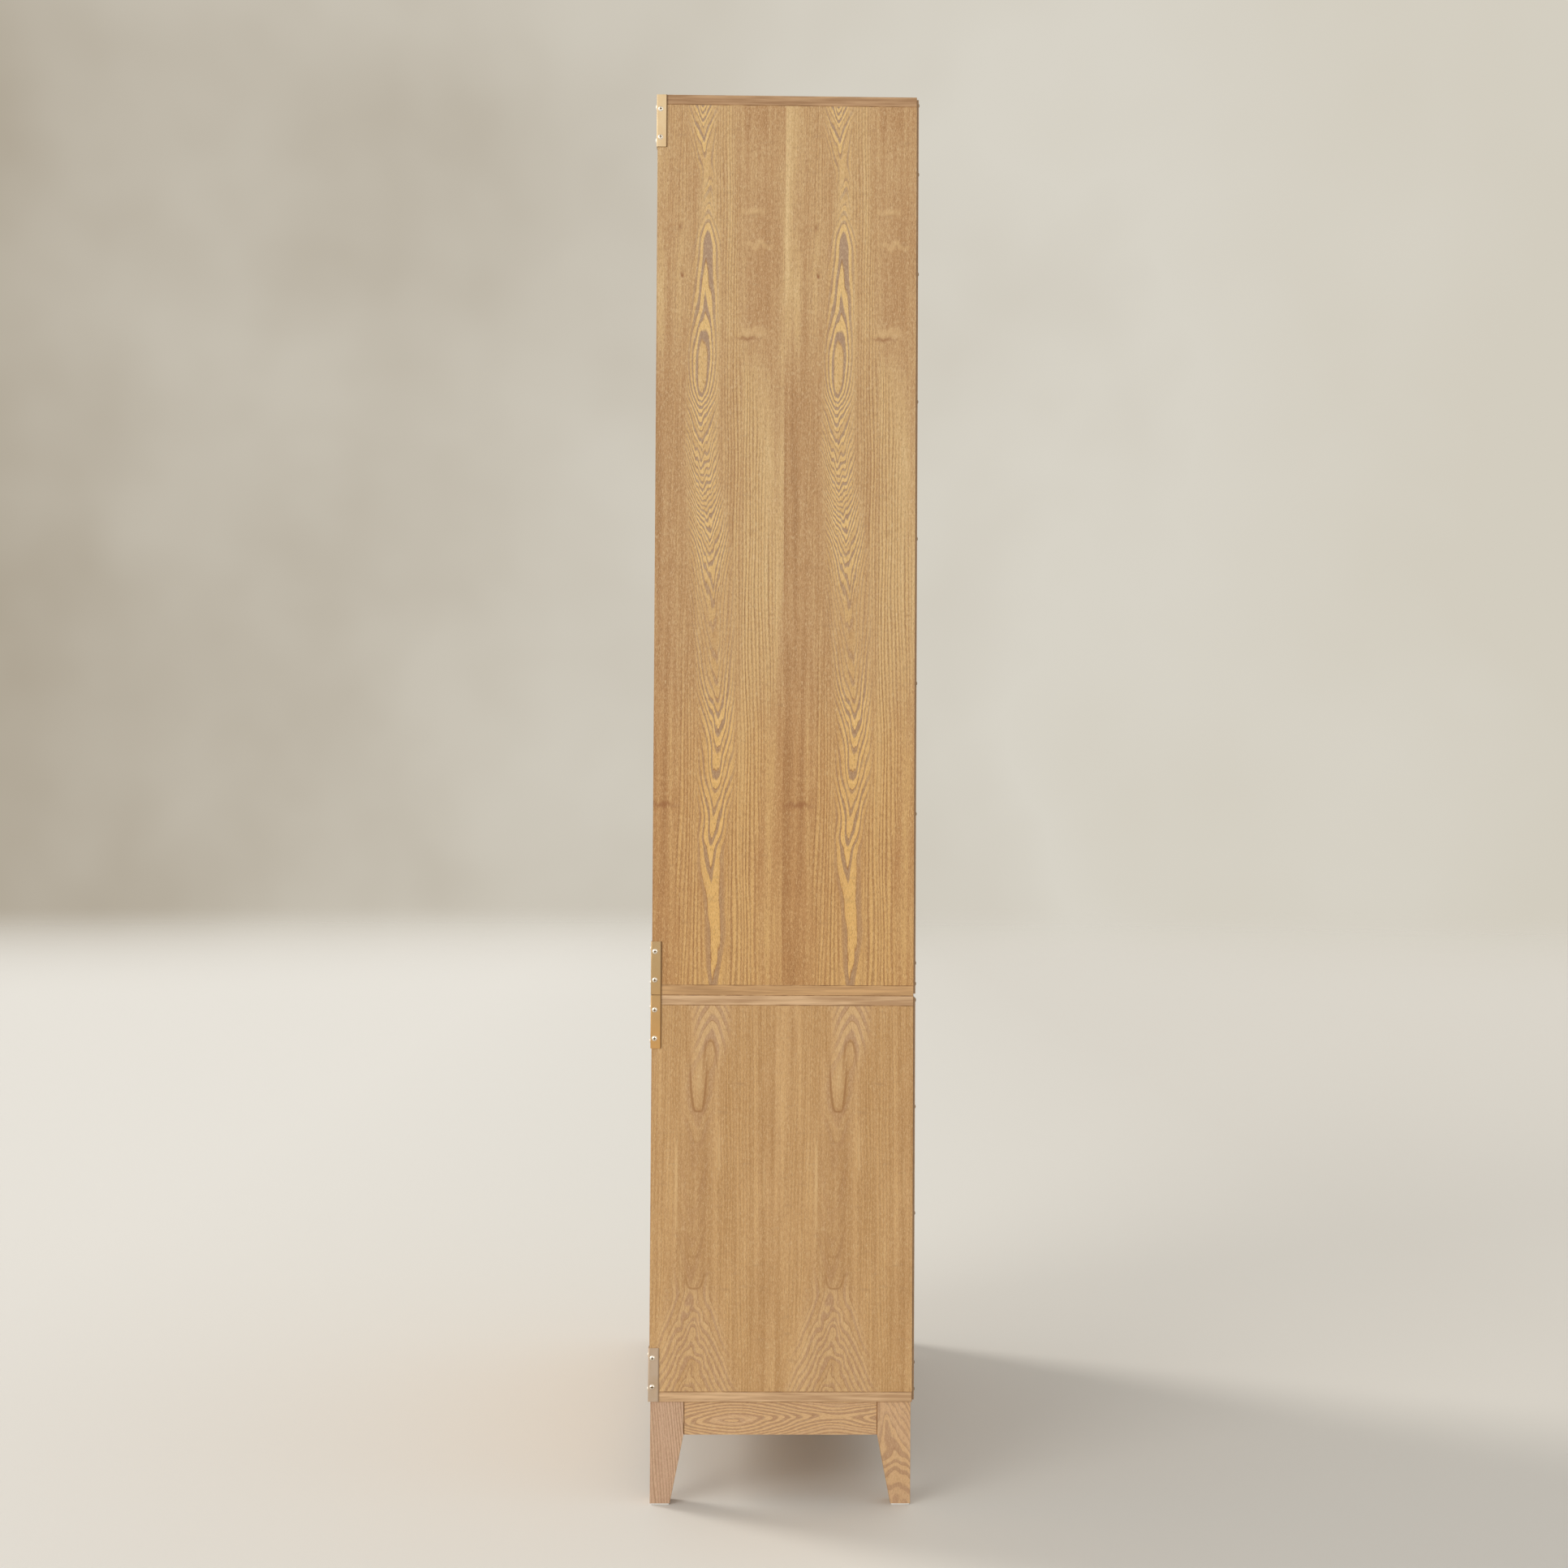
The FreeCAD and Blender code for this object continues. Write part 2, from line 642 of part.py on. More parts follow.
def make_glides():
    """Square pads under the middle of the feet."""
    body = new_body("floor_glides", "0", MIDDLE, "0")
    edge = "(leg_inset + (leg_foot - glide_width)/2)"
    x = (f"{OUTER} - {edge} - glide_width", f"{OUTER} - {edge}")
    y = (f"{edge} - carcass_depth/2", f"{edge} + glide_width - carcass_depth/2")
    box_feature(body, "Additive", "glide", x, y, ("0", "glide_thickness"))
    reflect(body, "XZ_Plane", "YZ_Plane")
    keep(body)


def door_rise(floor, height):
    """The lower and upper edge of the doors in a carcass."""
    return f"({floor} + board + door_gap)", f"({floor} + {height} - board - door_gap)"


def pivot_bores(name, low, high):
    """Holes in a door's two ends that turn on the studs of the pivot plates."""
    wide = "(pivot_stud_diameter + 2*pivot_running_clearance)"
    deep = "(pivot_stud_length + pivot_end_clearance)"
    spans = {"low": (low, f"{low} + {deep}"), "high": (f"{high} - {deep}", high)}
    at = (PIVOT_X, PIVOT_Y)
    return [rod(f"{name}_{end}_bore", "Cylinder", "z", span, at, wide) for end, span in spans.items()]


def make_door_fittings(door, knob_z, high):
    """The turned knob with its stud, the strike plate, and the hole that the stud needs."""
    knob_x = f"({DOOR_FREE_EDGE} + knob_edge_inset)"
    body = new_body(f"{door}_knob", knob_x, FRONT, knob_z)
    rim = "(knob_projection - knob_chamfer)"
    profile = [
        ("0", "0"),
        ("0", "knob_neck_diameter/2"),
        (f"-({rim} - knob_rim)", "knob_neck_diameter/2"),
        (f"-({rim} - knob_rim)", "knob_diameter/2"),
        (f"-{rim}", "knob_diameter/2"),
        ("-knob_projection", "knob_face_diameter/2"),
        ("-knob_projection", "0"),
    ]
    turned(body, f"{door}_knob_turning", profile)
    document.recompute()
    stud = ("-knob_rim", "knob_stud_length")
    rod_feature(body, "AdditivePrism", f"{door}_knob_stud", "y", stud, ("0", "0"), "knob_stud_diameter")
    keep_pair(body)

    spare = "(catch_width - strike_width)/2"
    strike_x = f"(catch_centre_inset + {spare})"
    top = f"({high} - strike_end_inset)"
    strike = block(
        f"{door}_strike_plate",
        (strike_x, f"{strike_x} + strike_width"),
        (DOOR_BACK, f"{DOOR_BACK} + strike_thickness"),
        (f"{top} - strike_height", top),
    )
    keep_pair(strike)
    span = (FRONT, f"{FRONT} + knob_stud_length + joint_clearance")
    wide = "(knob_stud_diameter + 2*joint_clearance)"
    return rod(f"{door}_knob_hole", "Prism", "y", span, (knob_x, knob_z), wide)


def make_glass_door(floor, height):
    """Stiles and rails with tenons, rebated at the back for a pane that four mitred beads hold in."""
    door = "right_glass_door"
    low, high = door_rise(floor, height)
    thick = (FRONT, DOOR_BACK)
    behind_lip = (f"{FRONT} + glass_lip", DOOR_BACK)
    pane_left = f"({DOOR_FREE_EDGE} + stile_width)"
    pane_right = f"({DOOR_HINGE_EDGE} - stile_width)"
    pane_low = f"({low} + rail_width)"
    pane_high = f"({high} - rail_width)"
    rebate_rise = (f"{pane_low} - rebate_depth", f"{pane_high} + rebate_depth")
    tenon_middle = f"({FRONT} + glass_lip + (door_thickness - glass_lip)/2)"
    tenon_half = "(tenon_thickness/2)"

    def tenon_rise(rail, spare):
        outer = f"(tenon_outer_shoulder - {spare})"
        inner = f"(rail_width - rebate_depth - tenon_inner_shoulder + {spare})"
        if rail == "bottom":
            return f"{low} + {outer}", f"{low} + {inner}"
        return f"{high} - {inner}", f"{high} - {outer}"

    def tenon(name, rail, span, spare):
        half = f"({tenon_half} + {spare})"
        thickness = (f"{tenon_middle} - {half}", f"{tenon_middle} + {half}")
        return block(name, span, thickness, tenon_rise(rail, spare))

    mortise_reach = "(tenon_length + joint_clearance)"
    mortises = {
        "meeting": (f"{pane_left} - {mortise_reach}", pane_left),
        "hinge": (pane_right, f"{pane_right} + {mortise_reach}"),
    }
    rebates = {
        "meeting": (f"{pane_left} - rebate_depth", pane_left),
        "hinge": (pane_right, f"{pane_right} + rebate_depth"),
    }
    stiles = {"meeting": (DOOR_FREE_EDGE, pane_left), "hinge": (pane_right, DOOR_HINGE_EDGE)}
    fitting_cuts = {
        "meeting": [make_door_fittings(door, f"{low} + upper_knob_rise", high)],
        "hinge": pivot_bores(door, low, high),
    }
    for stile, span in stiles.items():
        name = f"{door}_{stile}_stile"
        blank = block(f"{name}_blank", span, thick, (low, high))
        tools = [block(f"{name}_rebate", rebates[stile], behind_lip, rebate_rise)]
        for rail in ("bottom", "top"):
            tools.append(tenon(f"{name}_{rail}_mortise", rail, mortises[stile], "joint_clearance"))
        keep_pair(cut(name, blank, tools + fitting_cuts[stile]))

    rails = {
        "bottom": ((low, pane_low), (f"{pane_low} - rebate_depth", pane_low)),
        "top": ((pane_high, high), (pane_high, f"{pane_high} + rebate_depth")),
    }
    for rail, (rise, rebate) in rails.items():
        name = f"{door}_{rail}_rail"
        bar = block(f"{name}_bar", (pane_left, pane_right), thick, rise)
        groove = block(f"{name}_rebate", (pane_left, pane_right), behind_lip, rebate)
        stick = cut(f"{name}_stick", bar, [groove])
        span = (f"{pane_left} - tenon_length", f"{pane_right} + tenon_length")
        keep_pair(joined(name, [stick, tenon(f"{name}_tenon", rail, span, "0")]))

    edge = "(rebate_depth - glass_edge_gap)"
    pane_back = f"({FRONT} + glass_lip + glass_thickness)"
    pane = block(
        f"{door}_glass",
        (f"{pane_left} - {edge}", f"{pane_right} + {edge}"),
        (f"{FRONT} + glass_lip", pane_back),
        (f"{pane_low} - {edge}", f"{pane_high} + {edge}"),
    )
    keep_pair(pane)

    centre = (f"({pane_left} + {pane_right})/2", pane_back, f"({pane_low} + {pane_high})/2")
    beads = new_body(f"{door}_glass_beads", *centre)
    inner_x = f"(({pane_right} - {pane_left})/2)"
    inner_z = f"(({pane_high} - {pane_low})/2)"
    reach = "(rebate_depth - bead_clearance)"
    outer_x = f"({inner_x} + {reach})"
    outer_z = f"({inner_z} + {reach})"
    short_outer = f"({outer_z} - bead_clearance)"
    short_inner = f"({inner_z} - bead_clearance)"
    shapes = {
        "level": (
            "XY_Plane",
            [
                (f"-{outer_x}", f"-{outer_z}"),
                (outer_x, f"-{outer_z}"),
                (inner_x, f"-{inner_z}"),
                (f"-{inner_x}", f"-{inner_z}"),
            ],
        ),
        "upright": (
            "YZ_Plane",
            [
                (outer_x, f"-{short_outer}"),
                (outer_x, short_outer),
                (inner_x, short_inner),
                (inner_x, f"-{short_inner}"),
            ],
        ),
    }
    bead_depth = "door_thickness - glass_lip - glass_thickness"
    for name, (mirror_role, corners) in shapes.items():
        section = outline(beads, f"{door}_{name}_bead_section", "XZ_Plane", corners)
        bead = pad(beads, f"{door}_{name}_bead", section, bead_depth, backwards=True)
        document.recompute()
        image = beads.newObject("PartDesign::Mirrored", f"{door}_{name}_bead_image")
        image.Originals = [bead]
        image.MirrorPlane = (origin_plane(beads, mirror_role), [""])
        beads.Tip = image
        document.recompute()
    keep_pair(beads)


def make_lower_door(floor, height):
    """A plain veneered slab on the same pivots, with its knob near the top of the meeting edge."""
    door = "right_lower_door"
    low, high = door_rise(floor, height)
    blank = block(f"{door}_blank", (DOOR_FREE_EDGE, DOOR_HINGE_EDGE), (FRONT, DOOR_BACK), (low, high))
    knob_hole = make_door_fittings(door, f"{high} - lower_knob_drop", high)
    keep_pair(cut(f"{door}_panel", blank, [knob_hole, *pivot_bores(door, low, high)]))


def write_pieces():
    """Writes every piece once the whole document is known to be sound."""
    document.recompute()
    failed = [item.Name for item in document.Objects if {"Invalid", "Error"} & set(item.State)]
    if failed:
        raise RuntimeError(f"features that failed: {failed}")
    for piece in pieces:
        if piece.Shape.isNull() or not piece.Shape.isValid():
            raise RuntimeError(f"bad shape: {piece.Label}")
    os.makedirs("parts", exist_ok=True)
    for piece in pieces:
        piece.Shape.exportStep(f"parts/{piece.Label}.step")
    print(len(pieces), "pieces written")


through_lower_top = bolt_holes("lower_top_bolt_hole", (f"{UPPER_FLOOR} - board", UPPER_FLOOR))
bolt_hole_end = f"{UPPER_FLOOR} + bolt_bite + bolt_clearance"
into_upper_bottom = bolt_holes("upper_bottom_bolt_hole", (UPPER_FLOOR, bolt_hole_end))
upper_shelves = ("upper_shelf_low", "upper_shelf_middle", "upper_shelf_high")
upper_tongues = make_carcass("upper", UPPER_FLOOR, "upper_height", upper_shelves, [], into_upper_bottom)
lower_tongues = make_carcass("lower", LOWER_FLOOR, "lower_height", ("lower_shelf",), through_lower_top, [])
keep(group("joint_tongues", upper_tongues + lower_tongues))
upper_back_screws = back_screws("upper", UPPER_FLOOR, "upper_height")
lower_back_screws = back_screws("lower", LOWER_FLOOR, "lower_height")
keep(group("back_screws", upper_back_screws + lower_back_screws))
for carcass_name, carcass_floor, carcass_height in (
    ("upper", UPPER_FLOOR, "upper_height"),
    ("lower", LOWER_FLOOR, "lower_height"),
):
    make_brackets(carcass_name, carcass_floor, carcass_height)
    make_pivots(carcass_name, carcass_floor, carcass_height)
    make_catches(carcass_name, carcass_floor, carcass_height)
make_bolts()
make_leg("front", 1, f"{FRONT} + leg_inset")
make_leg("back", -1, f"{BACK} - leg_inset")
make_aprons()
make_corner_blocks()
make_glides()
make_glass_door(UPPER_FLOOR, "upper_height")
make_lower_door(LOWER_FLOOR, "lower_height")
write_pieces()
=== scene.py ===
# %% [markdown]
# # A tall display cabinet in ash veneer with brass corners
# The real object is a glazed carcass that stands on a shorter closed one, on a frame of four
# tapered legs. Its construction is already packed as a fixed frame, so this lesson only dresses it:
# every board keeps its place and size, and gets the finish that it has on the real cabinet.

# %% Load the frame
import math
from functools import partial

import bmesh
import bpy
import numpy as np
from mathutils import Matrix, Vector


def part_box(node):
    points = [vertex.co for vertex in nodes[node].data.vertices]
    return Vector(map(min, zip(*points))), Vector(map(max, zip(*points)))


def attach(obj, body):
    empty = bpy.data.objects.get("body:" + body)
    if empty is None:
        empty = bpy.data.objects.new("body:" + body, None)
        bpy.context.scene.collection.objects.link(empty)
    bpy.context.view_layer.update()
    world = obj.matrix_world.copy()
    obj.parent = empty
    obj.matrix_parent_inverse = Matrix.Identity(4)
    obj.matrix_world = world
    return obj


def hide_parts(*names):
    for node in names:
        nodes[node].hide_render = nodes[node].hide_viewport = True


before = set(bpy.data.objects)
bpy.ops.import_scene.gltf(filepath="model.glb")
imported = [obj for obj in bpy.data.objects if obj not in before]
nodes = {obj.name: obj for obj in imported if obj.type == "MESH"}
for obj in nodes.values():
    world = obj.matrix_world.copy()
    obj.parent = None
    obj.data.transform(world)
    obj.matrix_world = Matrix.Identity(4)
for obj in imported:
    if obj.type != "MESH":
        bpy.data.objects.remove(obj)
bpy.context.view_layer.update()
MM = 0.001

# %% [markdown]
# ## Helpers for finishes
# Colours are written as the sRGB hex values that a colour chart shows. A shader works in linear
# light, so one function turns the one into the other. A second one adds a node with its settings
# and links, which keeps the recipes further down short enough to read. The others are steps that
# most recipes share: an empty tree to begin with, a run of arithmetic, noise in patches of a given
# size, one colour laid over another, and the surface that closes the tree.


# %% Colour and node helpers
def linear(code):
    """An sRGB hex value as linear red, green, blue and alpha: the sRGB curve undone channel by
    channel."""
    shares = [int(code[place : place + 2], 16) / 255 for place in (1, 3, 5)]
    return tuple(c / 12.92 if c <= 0.04045 else ((c + 0.055) / 1.055) ** 2.4 for c in shares) + (1.0,)


def node(tree, kind, inputs=(), out=0, stops=(), points=(), **settings):
    """Adds a node, fills its inputs with values or links, in order or by name, and returns one
    output. Stops are the places and hex colours of a ramp, points those of a curve."""
    made = tree.nodes.new(f"ShaderNode{kind}")
    for name, setting in settings.items():
        setattr(made, name, setting)
    for key, source in inputs.items() if isinstance(inputs, dict) else enumerate(inputs):
        if isinstance(source, bpy.types.NodeSocket):
            tree.links.new(source, made.inputs[key])
        else:
            made.inputs[key].default_value = source
    for number, (position, code) in enumerate(stops):
        elements = made.color_ramp.elements
        stop = elements[number] if number < 2 else elements.new(position)
        stop.position = position
        stop.color = linear(code)
    if points:
        curve = made.mapping.curves[0]
        curve.points[0].location = points[0]
        curve.points[1].location = points[-1]
        for across, up in points[1:-1]:
            curve.points.new(across, up)
        made.mapping.update()
    return made.outputs[out] if made.outputs else None


# The sockets of a Mix node: its share, the two that it mixes, as numbers or as colours, and the
# colour that comes out.
SHARE, NUMBER_A, NUMBER_B, COLOUR_A, COLOUR_B, MIXED_COLOUR = 0, 2, 3, 6, 7, 2
SMOOTH = {"interpolation_type": "SMOOTHSTEP"}


def empty_tree(owner):
    """Empties the tree of a material or of the world, and returns a function that adds nodes
    there."""
    owner.use_nodes = True
    owner.node_tree.nodes.clear()
    return partial(node, owner.node_tree)


def blank_material(name):
    """A new material, and the function that adds nodes to its tree."""
    material = bpy.data.materials.new(name)
    return material, empty_tree(material)


def maths(add, value, *steps):
    """Takes a value through steps of arithmetic, each an operation and the other values it needs."""
    for operation, *others in steps:
        value = add("Math", [value, *others], operation=operation)
    return value


def patches(add, size, detail=2.0):
    """Noise in patches of about this size in millimetres, with so many finer layers."""
    here = add("TexCoord", out="Object")
    return add("TexNoise", {"Vector": here, "Scale": 1 / (size * MM), "Detail": detail})


def laid_over(add, share, under, over, blend="MIX"):
    """One colour laid over another by a share."""
    colours = {SHARE: share, COLOUR_A: under, COLOUR_B: over}
    return add("Mix", colours, MIXED_COLOUR, data_type="RGBA", blend_type=blend)


def close_with(add, settings):
    """Closes a tree with a surface of these settings."""
    add("OutputMaterial", [add("BsdfPrincipled", settings)])


print("a mid honey brown in linear light:", [round(c, 3) for c in linear("#BE9864")])

# %% [markdown]
# ## The camera
# The photograph is taken from the right of the cabinet, a little below half height and 3 m away,
# with a normal lens. Its place and turn were found by matching the edges of the boards in the
# picture, and they are written here in metres and degrees. A camera could also be aimed with a
# constraint, but plain values show what it does.

# %% Camera
CAMERA_PLACE = (3.5327, -0.04485, 1.0137)
CAMERA_TURN = (91.317, -0.308, 88.997)
LENS_MM = 46
SENSOR_MM = 36

camera_data = bpy.data.cameras.new("camera")
camera_data.lens = LENS_MM
camera_data.sensor_width = SENSOR_MM
camera = bpy.data.objects.new("camera", camera_data)
camera.location = CAMERA_PLACE
camera.rotation_euler = [math.radians(angle) for angle in CAMERA_TURN]
bpy.context.scene.collection.objects.link(camera)
bpy.context.scene.camera = camera
print("camera at", CAMERA_PLACE, "with a lens of", LENS_MM, "mm")

# %% [markdown]
# ## Floor
# A studio floor is a pale sweep with no edges. Here it is one wide round sheet whose far edge fades
# to clear, so that it melts into the wall behind. A plane would do as well, but rings of growing
# width leave small faces near the cabinet, where its shadow falls. The first mesh helpers are
# written here, because the floor is the first surface.

# %% Floor
FLOOR_RADIUS = 30.0
FLOOR_RINGS = 24
FLOOR_SPOKES = 64
FLOOR_DROP = 0.0003
FLOOR_FADE = (9.0, 24.0)
# Painted shade: the floor's tint darkens towards +y, the side away from the key.
FLOOR_PAINTED_SHADE = [(0.0, "#E6E4E0"), (0.5, "#DFDDD8"), (1.0, "#D7D4CE")]
FLOOR_PAINTED_SHADE_REACH = 1.6
FLOOR_ROUGHNESS = 0.8
MERGE_M = 1e-6


def sheet_faces(rows, columns):
    """Quads between neighbouring points of a grid, as an array, joined round its columns."""
    row, column = np.meshgrid(np.arange(rows - 1), np.arange(columns), indexing="ij")
    beside = (column + 1) % columns
    near, far = row * columns, (row + 1) * columns
    return np.stack([near + column, near + beside, far + beside, far + column], axis=-1).reshape(-1, 4)


def mesh_object(name, points, faces, smooth_angle=None, finishes=None):
    """A mesh object with its doubles merged and its faces turned outwards, smooth below an angle if
    one is given. Finishes gives the number of each face's material."""
    mesh = bpy.data.meshes.new(name)
    mesh.from_pydata(points.reshape(-1, 3).tolist(), [], faces.tolist())
    if finishes is not None:
        mesh.polygons.foreach_set("material_index", finishes)
    shape = bmesh.new()
    shape.from_mesh(mesh)
    bmesh.ops.remove_doubles(shape, verts=shape.verts, dist=MERGE_M)
    bmesh.ops.recalc_face_normals(shape, faces=shape.faces)
    shape.to_mesh(mesh)
    shape.free()
    if smooth_angle is not None:
        mesh.polygons.foreach_set("use_smooth", np.ones(len(mesh.polygons), bool))
        mesh.set_sharp_from_angle(angle=math.radians(smooth_angle))
    made = bpy.data.objects.new(name, mesh)
    bpy.context.scene.collection.objects.link(made)
    return made


def floor_points():
    """A flat disc: rings whose radius grows as the square of their number, each with the same
    spokes."""
    radius = FLOOR_RADIUS * np.linspace(0, 1, FLOOR_RINGS)[:, None] ** 2
    angle = np.linspace(0, 2 * np.pi, FLOOR_SPOKES, endpoint=False)[None, :]
    level = np.full(np.broadcast_shapes(radius.shape, angle.shape), -FLOOR_DROP)
    return np.stack([radius * np.cos(angle), radius * np.sin(angle), level], axis=-1)


floor_material, add = blank_material("matt_studio_floor")
here = add("TexCoord", out="Object")
aside = add("SeparateXYZ", [here], out="Y")
aside = add("MapRange", [aside, -FLOOR_PAINTED_SHADE_REACH, FLOOR_PAINTED_SHADE_REACH])
tint = add("ValToRGB", [aside], stops=FLOOR_PAINTED_SHADE)
matt = add("BsdfPrincipled", {"Base Color": tint, "Roughness": FLOOR_ROUGHNESS})
distance = add("VectorMath", [here], out="Value", operation="LENGTH")
fade = add("MapRange", [distance, *FLOOR_FADE], **SMOOTH)
melting = add("MixShader", [fade, matt, add("BsdfTransparent")])
add("OutputMaterial", [melting])

floor = mesh_object("studio_floor", floor_points(), sheet_faces(FLOOR_RINGS, FLOOR_SPOKES))
floor.data.materials.append(floor_material)
print("floor of", FLOOR_RADIUS, "m with", len(floor.data.polygons), "faces")

# %% [markdown]
# ## Wall and sky light
# Behind the cabinet stands a plastered wall with soft clouds, darker to the left. It needs no mesh:
# the world shows it to the rays that come from the camera, from metal or through glass, and lights
# everything else evenly. Metal also needs something bright to mirror, so large soft boxes are drawn
# behind the camera and before the doors, for mirrored rays alone. A ray through glass counts as
# glossy too, so it is taken off.

# %% Wall and sky light
WORLD_STRENGTH = 0.62
WORLD_LIGHT = "#FFFDF8"
WALL_FACES = (-0.6, -0.9)
WALL_REACH = (-0.14, 0.64)
WALL_TINTS = [(0.0, "#AFA594"), (0.35, "#C9C2B4"), (0.7, "#D8D3C7"), (1.0, "#D3CDBF")]
WALL_CLOUDS = 7.0
WALL_CLOUD_DETAIL = 3.0
WALL_CLOUD_SHARE = 0.5
SOFT_BOX_FACES = (0.1, 0.7)
SOFT_BOX = (1.3, 1.28, 1.24, 1.0)

world = bpy.data.worlds.new("studio")
bpy.context.scene.world = world
add = empty_tree(world)
view = add("TexCoord")
ahead, beside = add("SeparateXYZ", [view]).node.outputs[:2]
facing = add("MapRange", [ahead, *WALL_FACES])
sideways = maths(add, beside, ("MULTIPLY", facing))
clouds = add("TexNoise", {"Vector": view, "Scale": WALL_CLOUDS, "Detail": WALL_CLOUD_DETAIL})
sideways = maths(add, clouds, ("MULTIPLY_ADD", WALL_CLOUD_SHARE, sideways))
sideways = add("MapRange", [sideways, *WALL_REACH])
wall = add("ValToRGB", [sideways], stops=WALL_TINTS)

path = add("LightPath").node.outputs
from_camera, glossy, through = (path[f"Is {kind} Ray"] for kind in ("Camera", "Glossy", "Transmission"))
before = maths(add, beside, ("MULTIPLY", -1.0))
soft_box = maths(add, ahead, ("MAXIMUM", before))
soft_box = add("MapRange", [soft_box, *SOFT_BOX_FACES])
mirrored = add("Math", [glossy, through], operation="SUBTRACT", use_clamp=True)
soft_box = maths(add, soft_box, ("MULTIPLY", mirrored))
wall = laid_over(add, soft_box, wall, SOFT_BOX)
backdrop = add("Background", {"Color": wall, "Strength": 1.0})
lighting = add("Background", {"Color": linear(WORLD_LIGHT), "Strength": WORLD_STRENGTH})
seen = maths(add, from_camera, ("MAXIMUM", glossy), ("MAXIMUM", through))
add("OutputWorld", [add("MixShader", [seen, lighting, backdrop])])
bpy.context.scene.view_settings.view_transform = "Standard"
print("wall in", len(WALL_TINTS), "tints and a sky light of", WORLD_STRENGTH)

# %% [markdown]
# ## Lamps
# Three suns with a wide angle stand for large soft boxes, because they light every part of the
# floor alike, where an area lamp would leave the distance dark. The key comes from the front and
# casts the long shadow, the fill lights the side, and the rim the back. With the sky light they
# come to a plain level, at which a colour renders about as it is written. Metal doesn't mirror the
# key, whose small bright disc would burn white spots into the brass, and no lamp shows through the
# glass.

# %% Lamps
LAMP_LIGHT = "#FFFAF2"
# Each lamp: where it shines from, its strength, and how wide it looks in degrees.
LAMPS = {
    "key": ((-0.6, -1.0, 0.6), 1.6, 18),
    "fill": ((0.8, -0.75, 0.32), 1.22, 36),
    "rim": ((-0.4, 1.0, 0.5), 0.3, 90),
}
for lamp_name, (direction, strength, angle) in LAMPS.items():
    data = bpy.data.lights.new(lamp_name, "SUN")
    data.energy = strength
    data.angle = math.radians(angle)
    data.color = linear(LAMP_LIGHT)[:3]
    lamp = bpy.data.objects.new(lamp_name, data)
    lamp.rotation_euler = Vector(direction).to_track_quat("Z", "Y").to_euler()
    lamp.visible_glossy = lamp_name != "key"
    lamp.visible_transmission = False
    bpy.context.scene.collection.objects.link(lamp)
print(len(LAMPS), "soft lamps")
